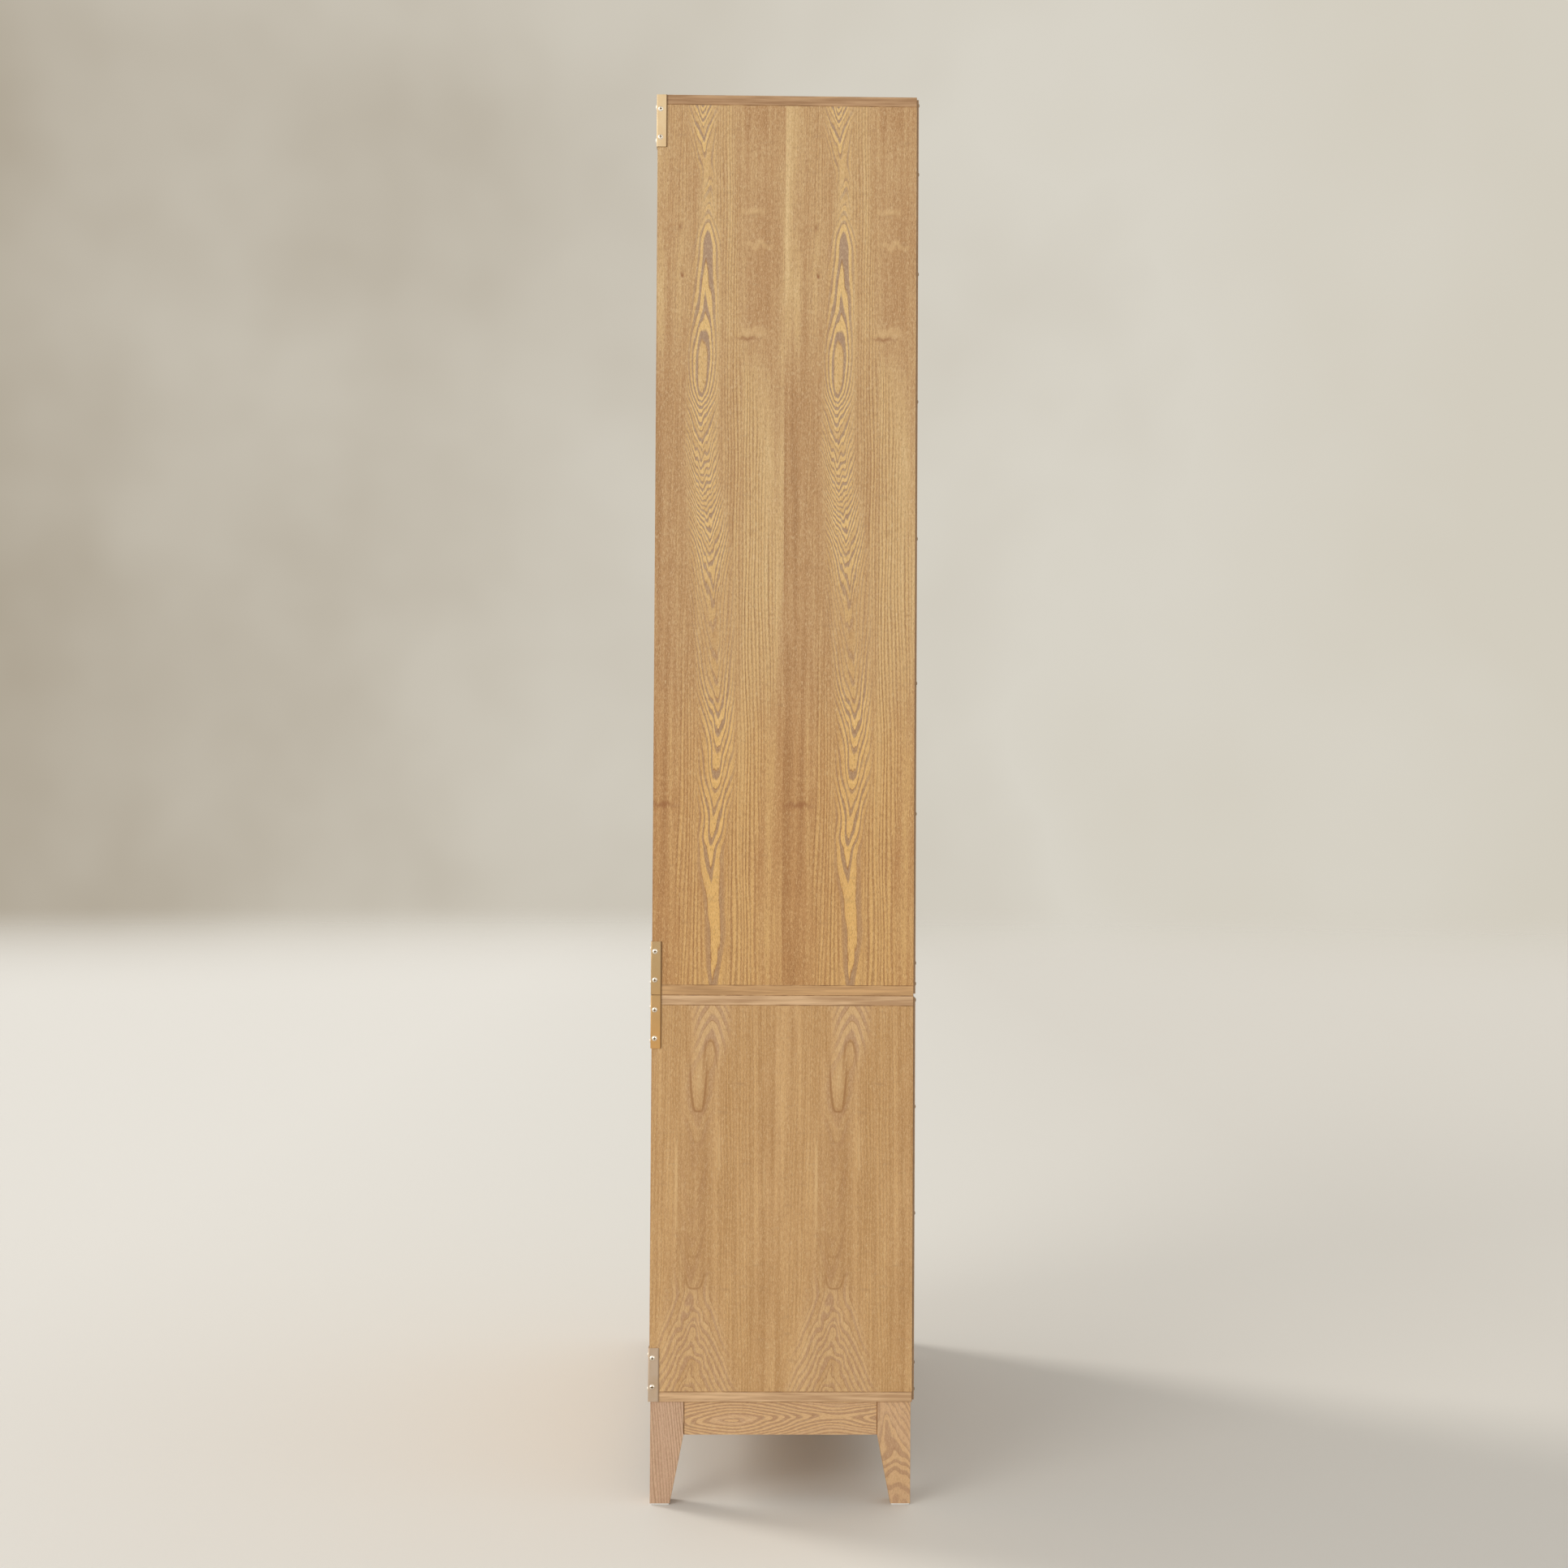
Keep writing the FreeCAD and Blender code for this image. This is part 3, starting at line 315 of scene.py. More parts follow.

# %% [markdown]
# ## How ash figure comes about
# The growth rings of a tree are nested cones. A flat slice through cones shows hyperbolas, which is
# why sliced ash has those pointed arches, called cathedrals. Where the log swells or bends, an arch
# closes to an eye. An image could be laid on the boards, but a formula stays sharp at any distance
# and fits every board. The field below counts rings at each point of a leaf of veneer. One curve
# says how deep the slice lies in the log at each height, another where the crown of the arches
# runs, and the distance from the crown adds rings to both sides. Every whole ring then gets the
# same colours: grey porous early wood, golden late wood, a dark line. All of it is drawn as
# curves, first for the leaf on the tall sides.

# %% Figure of the tall leaf
# A curve along the grain runs by shares of the height, and one across it in millimetres.
# Depth is how deep the slice lies and crown where the middle of the arches runs, in millimetres.
# Slope adds rings beside the crown, round makes the arches blunt there, and ring is one ring's depth.
# Zone is how far the arches reach before the straight lines of the flank take over, and outer is
# where those end. Vivid and lines say how plainly arches and lines stand out, and left how plainly
# the lines do to the left of the crown, as far as left_end. Spacing is from line to line, at the
# foot and the head.
# Waves gives the sizes of the noise that bends the arches, wiggle how far it bends them, and warp
# how far a finer one does. Speckle says how plain the pores are.
# Foot, middle and head are the tones from edge to edge. Rise leads from foot to middle, change on to
# head, and warm says where the wood is warmer.
# A mark has its place across, its height, half its length, half its width and its strength, which is
# above nought for a dark one and below for a pale one. A cup, where the slice grazes a ring, has its
# place, height, half width, rise and strength.
TALL_LEAF = {
    "depth": [
        (0.0, 100.5), (0.022, 99.9), (0.1, 98.9), (0.134, 97.9), (0.155, 97), (0.166, 95.9),
        (0.195, 94.8), (0.242, 89.9), (0.262, 88.7), (0.3, 85), (0.339, 80.5), (0.377, 77.6),
        (0.475, 70), (0.518, 62), (0.567, 48.5), (0.629, 34.9), (0.647, 31.9), (0.676, 25.9),
        (0.705, 24.95), (0.734, 25.9), (0.766, 27.9), (0.818, 29.9), (0.85, 30.6), (0.864, 31.85),
        (0.874, 33.8), (0.887, 35.8), (0.901, 37.8), (0.917, 39.7), (0.927, 40.3), (0.938, 39.8),
        (0.962, 37.8), (0.977, 35.8), (0.986, 33.8), (1.0, 31),
    ],
    "crown": [
        (0.0, 104), (0.095, 104), (0.14, 99), (0.196, 104), (0.287, 108), (0.379, 102), (0.49, 96),
        (0.563, 87), (0.637, 80), (0.72, 82), (0.841, 87), (0.92, 88), (0.94, 84), (1.0, 80),
    ],
    "slope": [
        (0.0, 0.14), (0.11, 0.15), (0.17, 0.27), (0.3, 0.36), (0.5, 0.45), (0.65, 0.5), (0.72, 0.32),
        (0.75, 0.31), (0.79, 0.25), (0.811, 0.23), (0.828, 0.25), (0.851, 0.34), (0.87, 0.42),
        (0.9, 0.55), (0.94, 0.45), (1.0, 0.42),
    ],
    "round": 5.5,
    "ring": 2.0,
    "warm": [(0.0, 0.9), (0.22, 0.75), (0.42, 0.1), (1.0, 0.0)],
    "zone": [
        (0.0, 15), (0.1, 18), (0.2, 26), (0.33, 30), (0.4, 34), (0.47, 34), (0.55, 28), (0.7, 23),
        (0.8, 20), (0.855, 18), (0.868, 9), (0.9, 9), (0.918, 12), (0.94, 18), (1.0, 22),
    ],
    "outer": [(0.0, 70), (0.25, 75), (0.36, 92), (0.62, 95), (0.74, 62), (0.85, 50), (1.0, 50)],
    "vivid": [
        (0.0, 1), (0.3, 1), (0.4, 0.45), (0.46, 0.7), (0.52, 1), (0.858, 1), (0.87, 0.8), (0.92, 0.8),
        (0.945, 1), (1.0, 1),
    ],
    "lines": [(0.0, 1), (0.6, 1), (0.75, 0.75), (0.85, 1), (1.0, 1)],
    "warp": 0.8,
    "speckle": 1.0,
    "left": [(0.0, 0.9), (0.28, 0.8), (0.42, 0.3), (0.8, 0.3), (1.0, 0.5)],
    "left_end": -50.0,
    "spacing": (5.8, 4.0),
    "wiggle": [
        (0.0, 0.35), (0.3, 0.5), (0.45, 0.9), (0.6, 1.0), (0.66, 0.4), (0.75, 0.2), (0.9, 0.3),
        (1.0, 0.5),
    ],
    "foot": [
        (0, 0.2), (20, 0.22), (34, 0.37), (52, 0.42), (72, 0.45), (104, 0.5), (130, 0.6), (160, 0.6),
        (178, 0.5), (207, 0.5),
    ],
    "middle": [
        (0, 0.21), (20, 0.22), (34, 0.34), (50, 0.34), (66, 0.25), (84, 0.42), (108, 0.48), (122, 0.34),
        (134, 0.45), (146, 0.72), (165, 0.77), (190, 0.66), (207, 0.44),
    ],
    "head": [
        (0, 0.85), (15, 0.75), (27, 0.48), (52, 0.42), (104, 0.62), (128, 0.5), (155, 0.32), (186, 0.36),
        (198, 0.42), (207, 0.6),
    ],
    "rise": [(0.0, 0.0), (0.28, 0.0), (0.42, 1.0), (1.0, 1.0)],
    "change": [(0.0, 0.0), (0.62, 0.0), (0.78, 1.0), (1.0, 1.0)],
    "waves": (7.0, 60.0, 100.0),
    "marks": [
        (158, 0.741, 34, 12, -0.4), (160, 0.878, 30, 9, -0.4), (168, 0.84, 32, 10, -0.45),
        (150, 0.733, 26, 5, 0.6), (50, 0.807, 4, 6, 0.9), (47, 0.862, 5, 11, 0.6),
        (24, 0.203, 36, 7, 0.6),
    ],
}
depths = [depth for _, depth in TALL_LEAF["depth"]]
ring_count = (max(depths) - min(depths)) / TALL_LEAF["ring"]
print("a tall leaf crosses about", round(ring_count), "rings from its eye to its foot")

# %% [markdown]
# ### The short leaf
# The short sides are cut from another log, nearer to its bark. The slice runs almost along the
# rings, so the arches are broad and faint, with folds at the foot and a few rings that end in a
# blunt cup. The tall leaf's curves could be squeezed to this height, but its eyes and scars would
# show again.


# %% Figure of the short leaf
def even(value):
    """A curve that keeps one value from end to end."""
    return [(0.0, value), (1.0, value)]


SHORT_LEAF = {
    "depth": [
        (0.0, 21), (0.1, 27), (0.206, 33.4), (0.235, 35), (0.25, 35.2), (0.28, 34.8), (0.35, 33),
        (0.5, 29.4), (0.66, 27.5), (0.7, 26.6), (0.724, 25.9), (0.76, 25.2), (0.84, 24.9), (0.88, 25.2),
        (0.903, 25.9), (0.965, 27.9), (1.0, 29.5),
    ],
    "crown": [(0.0, 78), (0.28, 77), (0.45, 77), (0.7, 86), (0.81, 90), (0.9, 104), (1.0, 106)],
    "slope": [(0.0, 0.22), (0.25, 0.24), (0.5, 0.15), (0.75, 0.145), (0.9, 0.16), (1.0, 0.2)],
    "round": 7.0,
    "ring": 2.0,
    "zone": [(0.0, 70), (0.15, 52), (0.28, 34), (0.5, 26), (0.7, 24), (0.85, 26), (1.0, 34)],
    "outer": even(95),
    "vivid": [
        (0.0, 0.6), (0.24, 0.6), (0.28, 0.3), (0.38, 0.15), (0.6, 0.15), (0.72, 0.3), (0.85, 0.4),
        (0.92, 0.7), (1.0, 0.7),
    ],
    "lines": [(0.0, 0.4), (0.3, 0.5), (1.0, 0.5)],
    "warp": 0.4,
    "speckle": 0.75,
    "left": even(0.9),
    "left_end": -70.0,
    "spacing": (5.2, 4.6),
    "wiggle": [(0.0, 2.2), (0.2, 2.0), (0.3, 0.6), (0.6, 0.4), (1.0, 0.5)],
    "foot": [
        (0, 0.5), (33, 0.52), (52, 0.42), (90, 0.4), (130, 0.5), (160, 0.42), (190, 0.38), (211, 0.52),
    ],
    "middle": [
        (0, 0.55), (33, 0.5), (52, 0.55), (64, 0.3), (100, 0.25), (112, 0.48), (130, 0.4), (168, 0.5),
        (190, 0.43), (211, 0.62),
    ],
    "head": [
        (0, 0.55), (30, 0.55), (52, 0.4), (104, 0.4), (135, 0.35), (168, 0.49), (190, 0.42), (211, 0.62),
    ],
    "rise": [(0.0, 0.0), (0.15, 0.0), (0.35, 1.0), (1.0, 1.0)],
    "change": [(0.0, 0.0), (0.6, 0.0), (0.8, 1.0), (1.0, 1.0)],
    "waves": (20.0, 40.0, 100.0),
    "cups": [
        (86.7, 0.724, 13.6, 100, 0.8), (104, 0.906, 11, -70, 0.5), (82, 0.266, 15.7, 34, 0.6),
        (80, 0.348, 14, 46, 0.35),
    ],
    "marks": [
        (54, 0.56, 3, 105, -0.45), (61, 0.3, 3, 60, -0.35), (118, 0.62, 3, 55, -0.4),
        (186, 0.55, 3, 80, -0.35), (88, 0.84, 9, 60, -0.3),
    ],
}
print("a short leaf has", len(SHORT_LEAF["cups"]), "grazed rings and", len(SHORT_LEAF["marks"]), "marks")

# %% [markdown]
# ## Ash as a finish
# The real boards are veneered with sliced ash, stained honey brown and lacquered satin. What the
# eye gets is the figure, a slow change of tone from streak to streak, thousands of short pores, and
# a soft sheen. The recipe takes the direction of the grain and of the board's face, so the same
# steps serve a side, a shelf and a leg. One long function could hold it all, but each step is
# easier to follow alone: it gets the function that adds nodes, and a bench with the results so far
# by name, and lays its own results there.

# %% Tones of the ash
TONES = {
    "early": "#A5866C",
    "late": "#E2BC7B",
    "line": "#9C6D3A",
    "line_dark": "#94683A",
    "line_pale": "#DCB77D",
    "leaf": ("#A67A4A", "#B58A5A", "#C09969", "#CEAA76", "#DBBB88"),
    "pore": "#8E6A45",
    "fleck": "#E0C9A2",
    "scar": "#8A5529",
    "curl": "#DDBB88",
    "edge_dark": "#AD8558",
    "edge_pale": "#CDA270",
}
print("the ash has", len(TONES), "tones")

# %% [markdown]
# ### Place on the leaf
# A leaf of veneer is a strip that repeats across the board from its seam. Object coordinates in
# millimetres are sorted into three: across the leaf, along the grain and through the board. A
# wrapped distance gives every leaf the same figure, which a texture with its own repeat could not
# do along one axis only.


# %% Place on the leaf
def leaf_place(add, grain, face, span, seam, leaf):
    """A point's place in millimetres: its distance from the seam, wrapped at the leaf's width, its
    place along the grain and through the board, and its share of the span that the figure runs
    over."""
    millimetres = add("Mapping", {"Vector": add("TexCoord", out="Object"), "Scale": [1 / MM] * 3})
    axes = dict(zip("xyz", add("SeparateXYZ", [millimetres]).node.outputs))
    other = ({"x", "y", "z"} - {grain, face}).pop()
    across = maths(add, axes[other], ("SUBTRACT", seam))
    if leaf:
        across = maths(add, across, ("WRAP", leaf, 0.0))
    return {
        "millimetres": millimetres,
        "across": across,
        "along": axes[grain],
        "through": axes[face],
        "sheet": add("CombineXYZ", [across, axes[grain], axes[face]]),
        "share": add("MapRange", [axes[grain], *span]),
        "span": span,
    }


print("a leaf has its own place, in millimetres across, along and through")

# %% [markdown]
# ### Clouds and curves
# Wood is never even, so noise of several sizes bends its lines and breaks its tones. Each kind has
# a size in millimetres, long along the grain and short across it. Pores are really about 0.3 mm
# wide: they are drawn wider, so that they still show in a picture of the whole cabinet. The
# drawn curves become curve nodes over the height of the leaf.

# %% Clouds and curves over the leaf
# Each kind of noise: its size across, along and through, how many finer layers it has, and its range.
CLOUDS = {
    "sway": ((60.0, 180.0, 100.0), 1.0, -2.5, 2.5),
    "drift": ((30.0, 300.0, 100.0), 2.0, -0.8, 0.8),
    "breaks": ((3.0, 160.0, 100.0), 1.0, 0.35, 1.0),
    "streaks": ((9.0, 420.0, 100.0), 2.0, -0.3, 0.3),
    "clouds": ((60.0, 130.0, 100.0), 2.0, -0.12, 0.12),
    "fibres": ((1.6, 45.0, 20.0), 2.0, -0.16, 0.16),
    "pores": ((1.1, 5.0, 4.0), 4.0, 0.0, 1.0),
    "blots": ((28.0, 11.0, 100.0), 2.0, 0.0, 1.0),
    "ripple": ((9.0, 40.0, 100.0), 3.0, -0.7, 0.7),
}
WARP_MM = (16.0, 110.0, 100.0)
WARP_MOST_MM = 3.0
PORE_TWIST = 1.2
NOISE_MIDDLE = (0.25, 0.75)
# The curves over the height, each with the height that stands for 1 in its curve node.
CURVE_TOPS = {"crown": 200.0, "depth": 200.0, "zone": 200.0, "outer": 200.0, "wiggle": 4.0}
CURVE_TOPS.update(dict.fromkeys(("slope", "vivid", "lines", "left", "rise", "change", "warm"), 1.0))


def leaf_clouds(add, bench, figure, tones):
    """Noise of every kind, at coordinates divided by its size, with its middle values stretched to
    its range."""
    warp = WARP_MOST_MM * figure["warp"]
    own = {"waves": (figure["waves"], 1.0, -1.0, 1.0), "warp": (WARP_MM, 1.0, -warp, warp)}
    for kind, (sizes, detail, low, high) in {**CLOUDS, **own}.items():
        spread = add("Mapping", {"Vector": bench["sheet"], "Scale": [1 / size for size in sizes]})
        twist = PORE_TWIST if kind == "pores" else 0.0
        cloud = add("TexNoise", {"Vector": spread, "Scale": 1.0, "Detail": detail, "Distortion": twist})
        bench[kind] = add("MapRange", [cloud, *NOISE_MIDDLE, low, high])


def leaf_curves(add, bench, figure, tones):
    """The figure's curves over the height. A curve node reaches from 0 to 1, so a curve is divided
    by its top to be drawn, and multiplied by it again."""
    for part, top in CURVE_TOPS.items():
        if part in figure:
            points = [(share, height / top) for share, height in figure[part]]
            drawn = add("FloatCurve", {"Value": bench["share"]}, points=points)
            bench[part] = maths(add, drawn, ("MULTIPLY", top))


print(len(CLOUDS), "kinds of noise and up to", len(CURVE_TOPS), "curves make a figure")

# %% [markdown]
# ### Arches
# The ring field becomes nodes here. Over the crown stands a hyperbola, which the slope stretches
# and the depth lifts. The whole part of the field numbers the rings, and its fraction runs through
# each one, which a colour ramp turns into early wood, late wood and a dark line. A wave texture
# would give even stripes: here chance makes some rings wide and some faint, as good and bad summers
# do.

# %% Rings of the arches
CROWN_MM = (2.0, 18.0)
CROWN_WAVER = (1.0, 0.2)
RING_WIDTHS = (0.65, 1.5)
RING_STOPS = (
    (0.0, "early"), (0.25, "early"), (0.38, "late"), (0.87, "late"), (0.94, "line"), (1.0, "early"),
)
FAINT_RINGS = (0.0, 0.5, 0.45, 1.0)
ARCH_FADE_MM = (6.0, -15.0)


def ring_colours(add, bench, figure, tones):
    """The hyperbola is the root of the distance from the crown squared plus the roundness squared,
    less the roundness. The field is that times the slope, plus the depth, plus waves that are
    strongest at the crown."""
    bend = figure["round"]
    beside = maths(add, bench["across"], ("SUBTRACT", bench["crown"]), ("ADD", bench["sway"]))
    bow = maths(add, beside, ("MULTIPLY_ADD", beside, bend * bend), ("SQRT",), ("SUBTRACT", bend))
    near = add("MapRange", [bow, *CROWN_MM, *CROWN_WAVER])
    waver = maths(add, near, ("MULTIPLY", bench["wiggle"]))
    field = maths(add, bow, ("MULTIPLY_ADD", bench["slope"], bench["depth"]))
    field = maths(add, bench["through"], ("MULTIPLY_ADD", figure.get("through", 0.0), field))
    field = maths(add, bench["waves"], ("MULTIPLY_ADD", waver, field))
    field = maths(add, bench["warp"], ("MULTIPLY_ADD", bench["slope"], field))
    rings = maths(add, field, ("DIVIDE", figure["ring"]))

    luck = add("TexWhiteNoise", {"W": maths(add, rings, ("FLOOR",))}, noise_dimensions="1D")
    width = add("MapRange", [luck, 0.0, 1.0, *RING_WIDTHS])
    inside = maths(add, rings, ("FRACT",), ("POWER", width))
    stops = [(place, tones[tone]) for place, tone in RING_STOPS]
    bench["ring_colour"] = add("ValToRGB", [inside], stops=stops)

    away = maths(add, beside, ("ABSOLUTE",), ("SUBTRACT", bench["zone"]))
    shown = add("MapRange", [away, *ARCH_FADE_MM], **SMOOTH)
    faint = add("MapRange", [luck, *FAINT_RINGS])
    bench["ring_share"] = maths(add, shown, ("MULTIPLY", bench["vivid"]), ("MULTIPLY", faint))
    bench["beside"], bench["away"] = beside, away


print("rings between", RING_WIDTHS, "of their even width")

# %% [markdown]
# ### Lines of the flank
# Beside the arches the slice meets the rings steeply, and they show as straight lines. They are
# counted by the distance across the leaf alone. Chance makes some plainer than others, and a long
# noise breaks them along their length.

# %% Lines of the flank
LINES_FROM_MM = 120.0
LINE_STOPS = (
    (0.0, "line_dark"), (0.22, "line_dark"), (0.45, "line_pale"), (0.8, "line_pale"),
    (1.0, "line_dark"),
)
LINE_CHANCE = (0.45, 1.0)
LINE_FADE_MM = (-4.0, 9.0)
OUTER_FADE_MM = (-14.0, 8.0)
LEFT_FADE_MM = (-8.0, 8.0)
LEFT_END_FADE_MM = 12.0


def flank_lines(add, bench, figure, tones):
    """Lines are numbered by the distance across, and into the board, over their spacing, plus a
    slow drift. They show from the edge of the zone to the outer limit on the right, and by the
    figure's share to the left."""
    apart = add("MapRange", [bench["share"], 0.0, 1.0, *figure["spacing"]])
    inward = figure.get("through", 0.0)
    count = maths(add, bench["through"], ("MULTIPLY_ADD", inward, bench["across"]))
    count = maths(add, count, ("SUBTRACT", LINES_FROM_MM), ("DIVIDE", apart), ("ADD", bench["drift"]))
    stops = [(place, tones[tone]) for place, tone in LINE_STOPS]
    bench["line_colour"] = add("ValToRGB", [maths(add, count, ("FRACT",))], stops=stops)

    chance = add("TexWhiteNoise", {"W": maths(add, count, ("FLOOR",))}, noise_dimensions="1D")
    chance = add("MapRange", [chance, 0.0, 1.0, *LINE_CHANCE])
    limit = maths(add, bench["beside"], ("SUBTRACT", bench["outer"]))
    right = add("MapRange", [limit, *OUTER_FADE_MM, 1.0, 0.0], **SMOOTH)
    left = add("MapRange", [bench["beside"], *LEFT_FADE_MM], **SMOOTH)
    left = maths(add, left, ("MAXIMUM", bench["left"]))
    end_mm = (figure["left_end"] - LEFT_END_FADE_MM, figure["left_end"])
    end = add("MapRange", [bench["beside"], *end_mm], **SMOOTH)
    shown = add("MapRange", [bench["away"], *LINE_FADE_MM], **SMOOTH)
    shares = (right, left, end, chance, bench["lines"], bench["breaks"])
    bench["line_share"] = maths(add, shown, *(("MULTIPLY", share) for share in shares))


print("lines are counted from", LINES_FROM_MM, "mm off the seam")

# %% [markdown]
# ### Tones and pores
# Under the figure lies a slow change of tone from edge to edge of the leaf, which differs at its
# foot, middle and head. Lines and arches are laid over it, then pores as dark dashes and, between
# them, pale flecks of late wood.

# %% Tones and pores
TONE_STOPS = (0.05, 0.3, 0.52, 0.75, 0.98)
# Which values of the noise become pores, flecks and blots, and how much these show, from least to most.
HOLES = (0.5, 1.0, 0.0, 0.75)
FLECKS = (0.5, 0.0, 0.0, 0.65)
BLOTS = (0.74, 1.0, 0.0, 0.3)


def leaf_tones(add, bench, figure, tones):
    """Three curves across the leaf, mixed up its height, plus streaks, clouds and fibres, choose a
    tone. Lines and arches replace it by their shares."""
    drawn = {}
    for part in ("foot", "middle", "head"):
        wide = figure[part][-1][0]
        place = add("MapRange", [bench["across"], 0.0, wide])
        points = [(across / wide, tone) for across, tone in figure[part]]
        drawn[part] = add("FloatCurve", {"Value": place}, points=points)
    tone = add("Mix", {SHARE: bench["rise"], NUMBER_A: drawn["foot"], NUMBER_B: drawn["middle"]})
    tone = add("Mix", {SHARE: bench["change"], NUMBER_A: tone, NUMBER_B: drawn["head"]})
    tone = maths(add, tone, *(("ADD", bench[kind]) for kind in ("streaks", "clouds", "fibres")))
    colour = add("ValToRGB", [tone], stops=list(zip(TONE_STOPS, tones["leaf"])))
    for part in ("line", "ring"):
        colour = laid_over(add, bench[f"{part}_share"], colour, bench[f"{part}_colour"])
    bench["colour"] = colour


def leaf_pores(add, bench, figure, tones):
    """High values of the pore noise, or of the blots, darken the wood, and low values brighten
    it."""
    plain = figure["speckle"]
    holes = add("MapRange", [bench["pores"], *HOLES[:3], HOLES[3] * plain])
    holes = maths(add, holes, ("MAXIMUM", add("MapRange", [bench["blots"], *BLOTS])))
    flecks = add("MapRange", [bench["pores"], *FLECKS[:3], FLECKS[3] * plain])
    for share, tone in ((holes, "pore"), (flecks, "fleck")):
        bench["colour"] = laid_over(add, share, bench["colour"], linear(tones[tone]))


print("tones change over", len(TONE_STOPS), "stops")

# %% [markdown]
# ### Marks of this tree
# A few marks stand out on the real sides: dark scars, pale curls, and rings that the slice only
# grazes, which end in a blunt cup. They are placed one by one with a formula each, and the noise
# called ripple roughens their edges.

# %% Marks of this tree
CUP_POWER = 4.0
CUP_RIPPLE_MM = 2.0
CUP_LINE_MM = (2.4, 0.5)
CUP_END = (1.0, 0.4)
WARM_TINT = "#FFF2D8"


def scars_and_curls(add, bench, figure, tones):
    """Soft ellipses: the square of one less the squared distance from the middle, in shares of half
    the length and half the width."""
    low, high = bench["span"]
    for middle, height, long, wide, strength in figure.get("marks", ()):
        level = low + height * (high - low)
        aside = maths(add, bench["across"], ("SUBTRACT", middle), ("DIVIDE", long))
        up = maths(add, bench["along"], ("SUBTRACT", level), ("DIVIDE", wide), ("ADD", bench["ripple"]))
        distance = maths(add, up, ("MULTIPLY_ADD", up, maths(add, aside, ("MULTIPLY", aside))))
        spot = add("MapRange", [distance, 1.0, 0.0])
        spot = maths(add, spot, ("MULTIPLY", spot), ("MULTIPLY", abs(strength)))
        tone = linear(tones["scar" if strength > 0 else "curl"])
        bench["colour"] = laid_over(add, spot, bench["colour"], tone)


def grazed_rings(add, bench, figure, tones):
    """Thin lines in the shape of a cup, whose height is the fourth power of the distance aside. The
    distance from the line is the height over it, divided by the root of one plus the wall's
    steepness squared."""
    low, high = bench["span"]
    for middle, height, half, rise, strength in figure.get("cups", ()):
        level, wall = low + height * (high - low), CUP_POWER * abs(rise) / half
        aside = maths(add, bench["ripple"], ("MULTIPLY_ADD", CUP_RIPPLE_MM, bench["across"]))
        aside = maths(add, aside, ("SUBTRACT", middle), ("ABSOLUTE",), ("DIVIDE", half))
        up = maths(add, bench["along"], ("SUBTRACT", level), ("DIVIDE", rise))
        steep = maths(add, aside, ("POWER", CUP_POWER - 1), ("MULTIPLY", wall))
        steep = maths(add, steep, ("MULTIPLY_ADD", steep, 1.0), ("SQRT",))
        off = maths(add, up, ("SUBTRACT", maths(add, aside, ("POWER", CUP_POWER))))
        off = maths(add, off, ("MULTIPLY", abs(rise)), ("DIVIDE", steep), ("ABSOLUTE",))
        stroke = add("MapRange", [off, *CUP_LINE_MM], **SMOOTH)
        end = add("MapRange", [up, *CUP_END], **SMOOTH)
        stroke = maths(add, stroke, ("MULTIPLY", end), ("MULTIPLY", strength))
        bench["colour"] = laid_over(add, stroke, bench["colour"], linear(tones["line"]))


def warmth(add, bench, figure, tones):
    """Where the figure says so, the colour is multiplied by a warm tint."""
    if "warm" in figure:
        tint = linear(WARM_TINT)
        bench["colour"] = laid_over(add, bench["warm"], bench["colour"], tint, "MULTIPLY")


print(len(TALL_LEAF["marks"]), "scars and curls on each tall leaf")

# %% [markdown]
# ### Edge strips and lacquer
# A veneered board has a strip of the same wood glued on its edges, with its own fine grain along
# the edge. The normal of a face tells an edge from a face, so no second material is needed. Satin
# lacquer closes the recipe, a little rougher over the pores, whose relief stays under it.

# %% Edge strips, lacquer and the whole recipe
STRIP_MM = (90.0, 5.0)
STRIP_DETAIL = 3.0
STRIP_STOPS = (0.2, 0.8)
FLAT_FACE = 0.6
SATIN = (0.4, 0.56)
LACQUER = {"IOR": 1.5, "Coat Weight": 0.08, "Coat Roughness": 0.3}
PORE_RELIEF = {"Strength": 0.1, "Distance": 0.3 * MM}


def edge_strip(add, bench, face, tones):
    """Noise drawn out along the edge and narrow across it colours each face whose normal is off the
    board's face."""
    scale = [1 / STRIP_MM[axis == face] for axis in "xyz"]
    spread = add("Mapping", {"Vector": bench["millimetres"], "Scale": scale})
    cloud = add("TexNoise", {"Vector": spread, "Scale": 1.0, "Detail": STRIP_DETAIL})
    cloud = add("MapRange", [cloud, *NOISE_MIDDLE])
    stops = list(zip(STRIP_STOPS, (tones["edge_dark"], tones["edge_pale"])))
    strip = add("ValToRGB", [cloud], stops=stops)
    normal = add("SeparateXYZ", [add("TexCoord", out="Normal")], out="xyz".index(face))
    flat = maths(add, normal, ("ABSOLUTE",), ("GREATER_THAN", FLAT_FACE))
    bench["colour"] = laid_over(add, flat, strip, bench["colour"])


def lacquer(add, bench):
    """The closing surface: the colour under satin lacquer with a thin coat."""
    rough = add("MapRange", [bench["pores"], 0.0, 1.0, *SATIN])
    relief = add("Bump", {"Height": bench["pores"], **PORE_RELIEF}, invert=True)
    close_with(add, {"Base Color": bench["colour"], "Roughness": rough, "Normal": relief, **LACQUER})


FIGURE_STEPS = [leaf_clouds, leaf_curves, ring_colours, flank_lines, leaf_tones, leaf_pores]
FIGURE_STEPS += [scars_and_curls, grazed_rings, warmth]


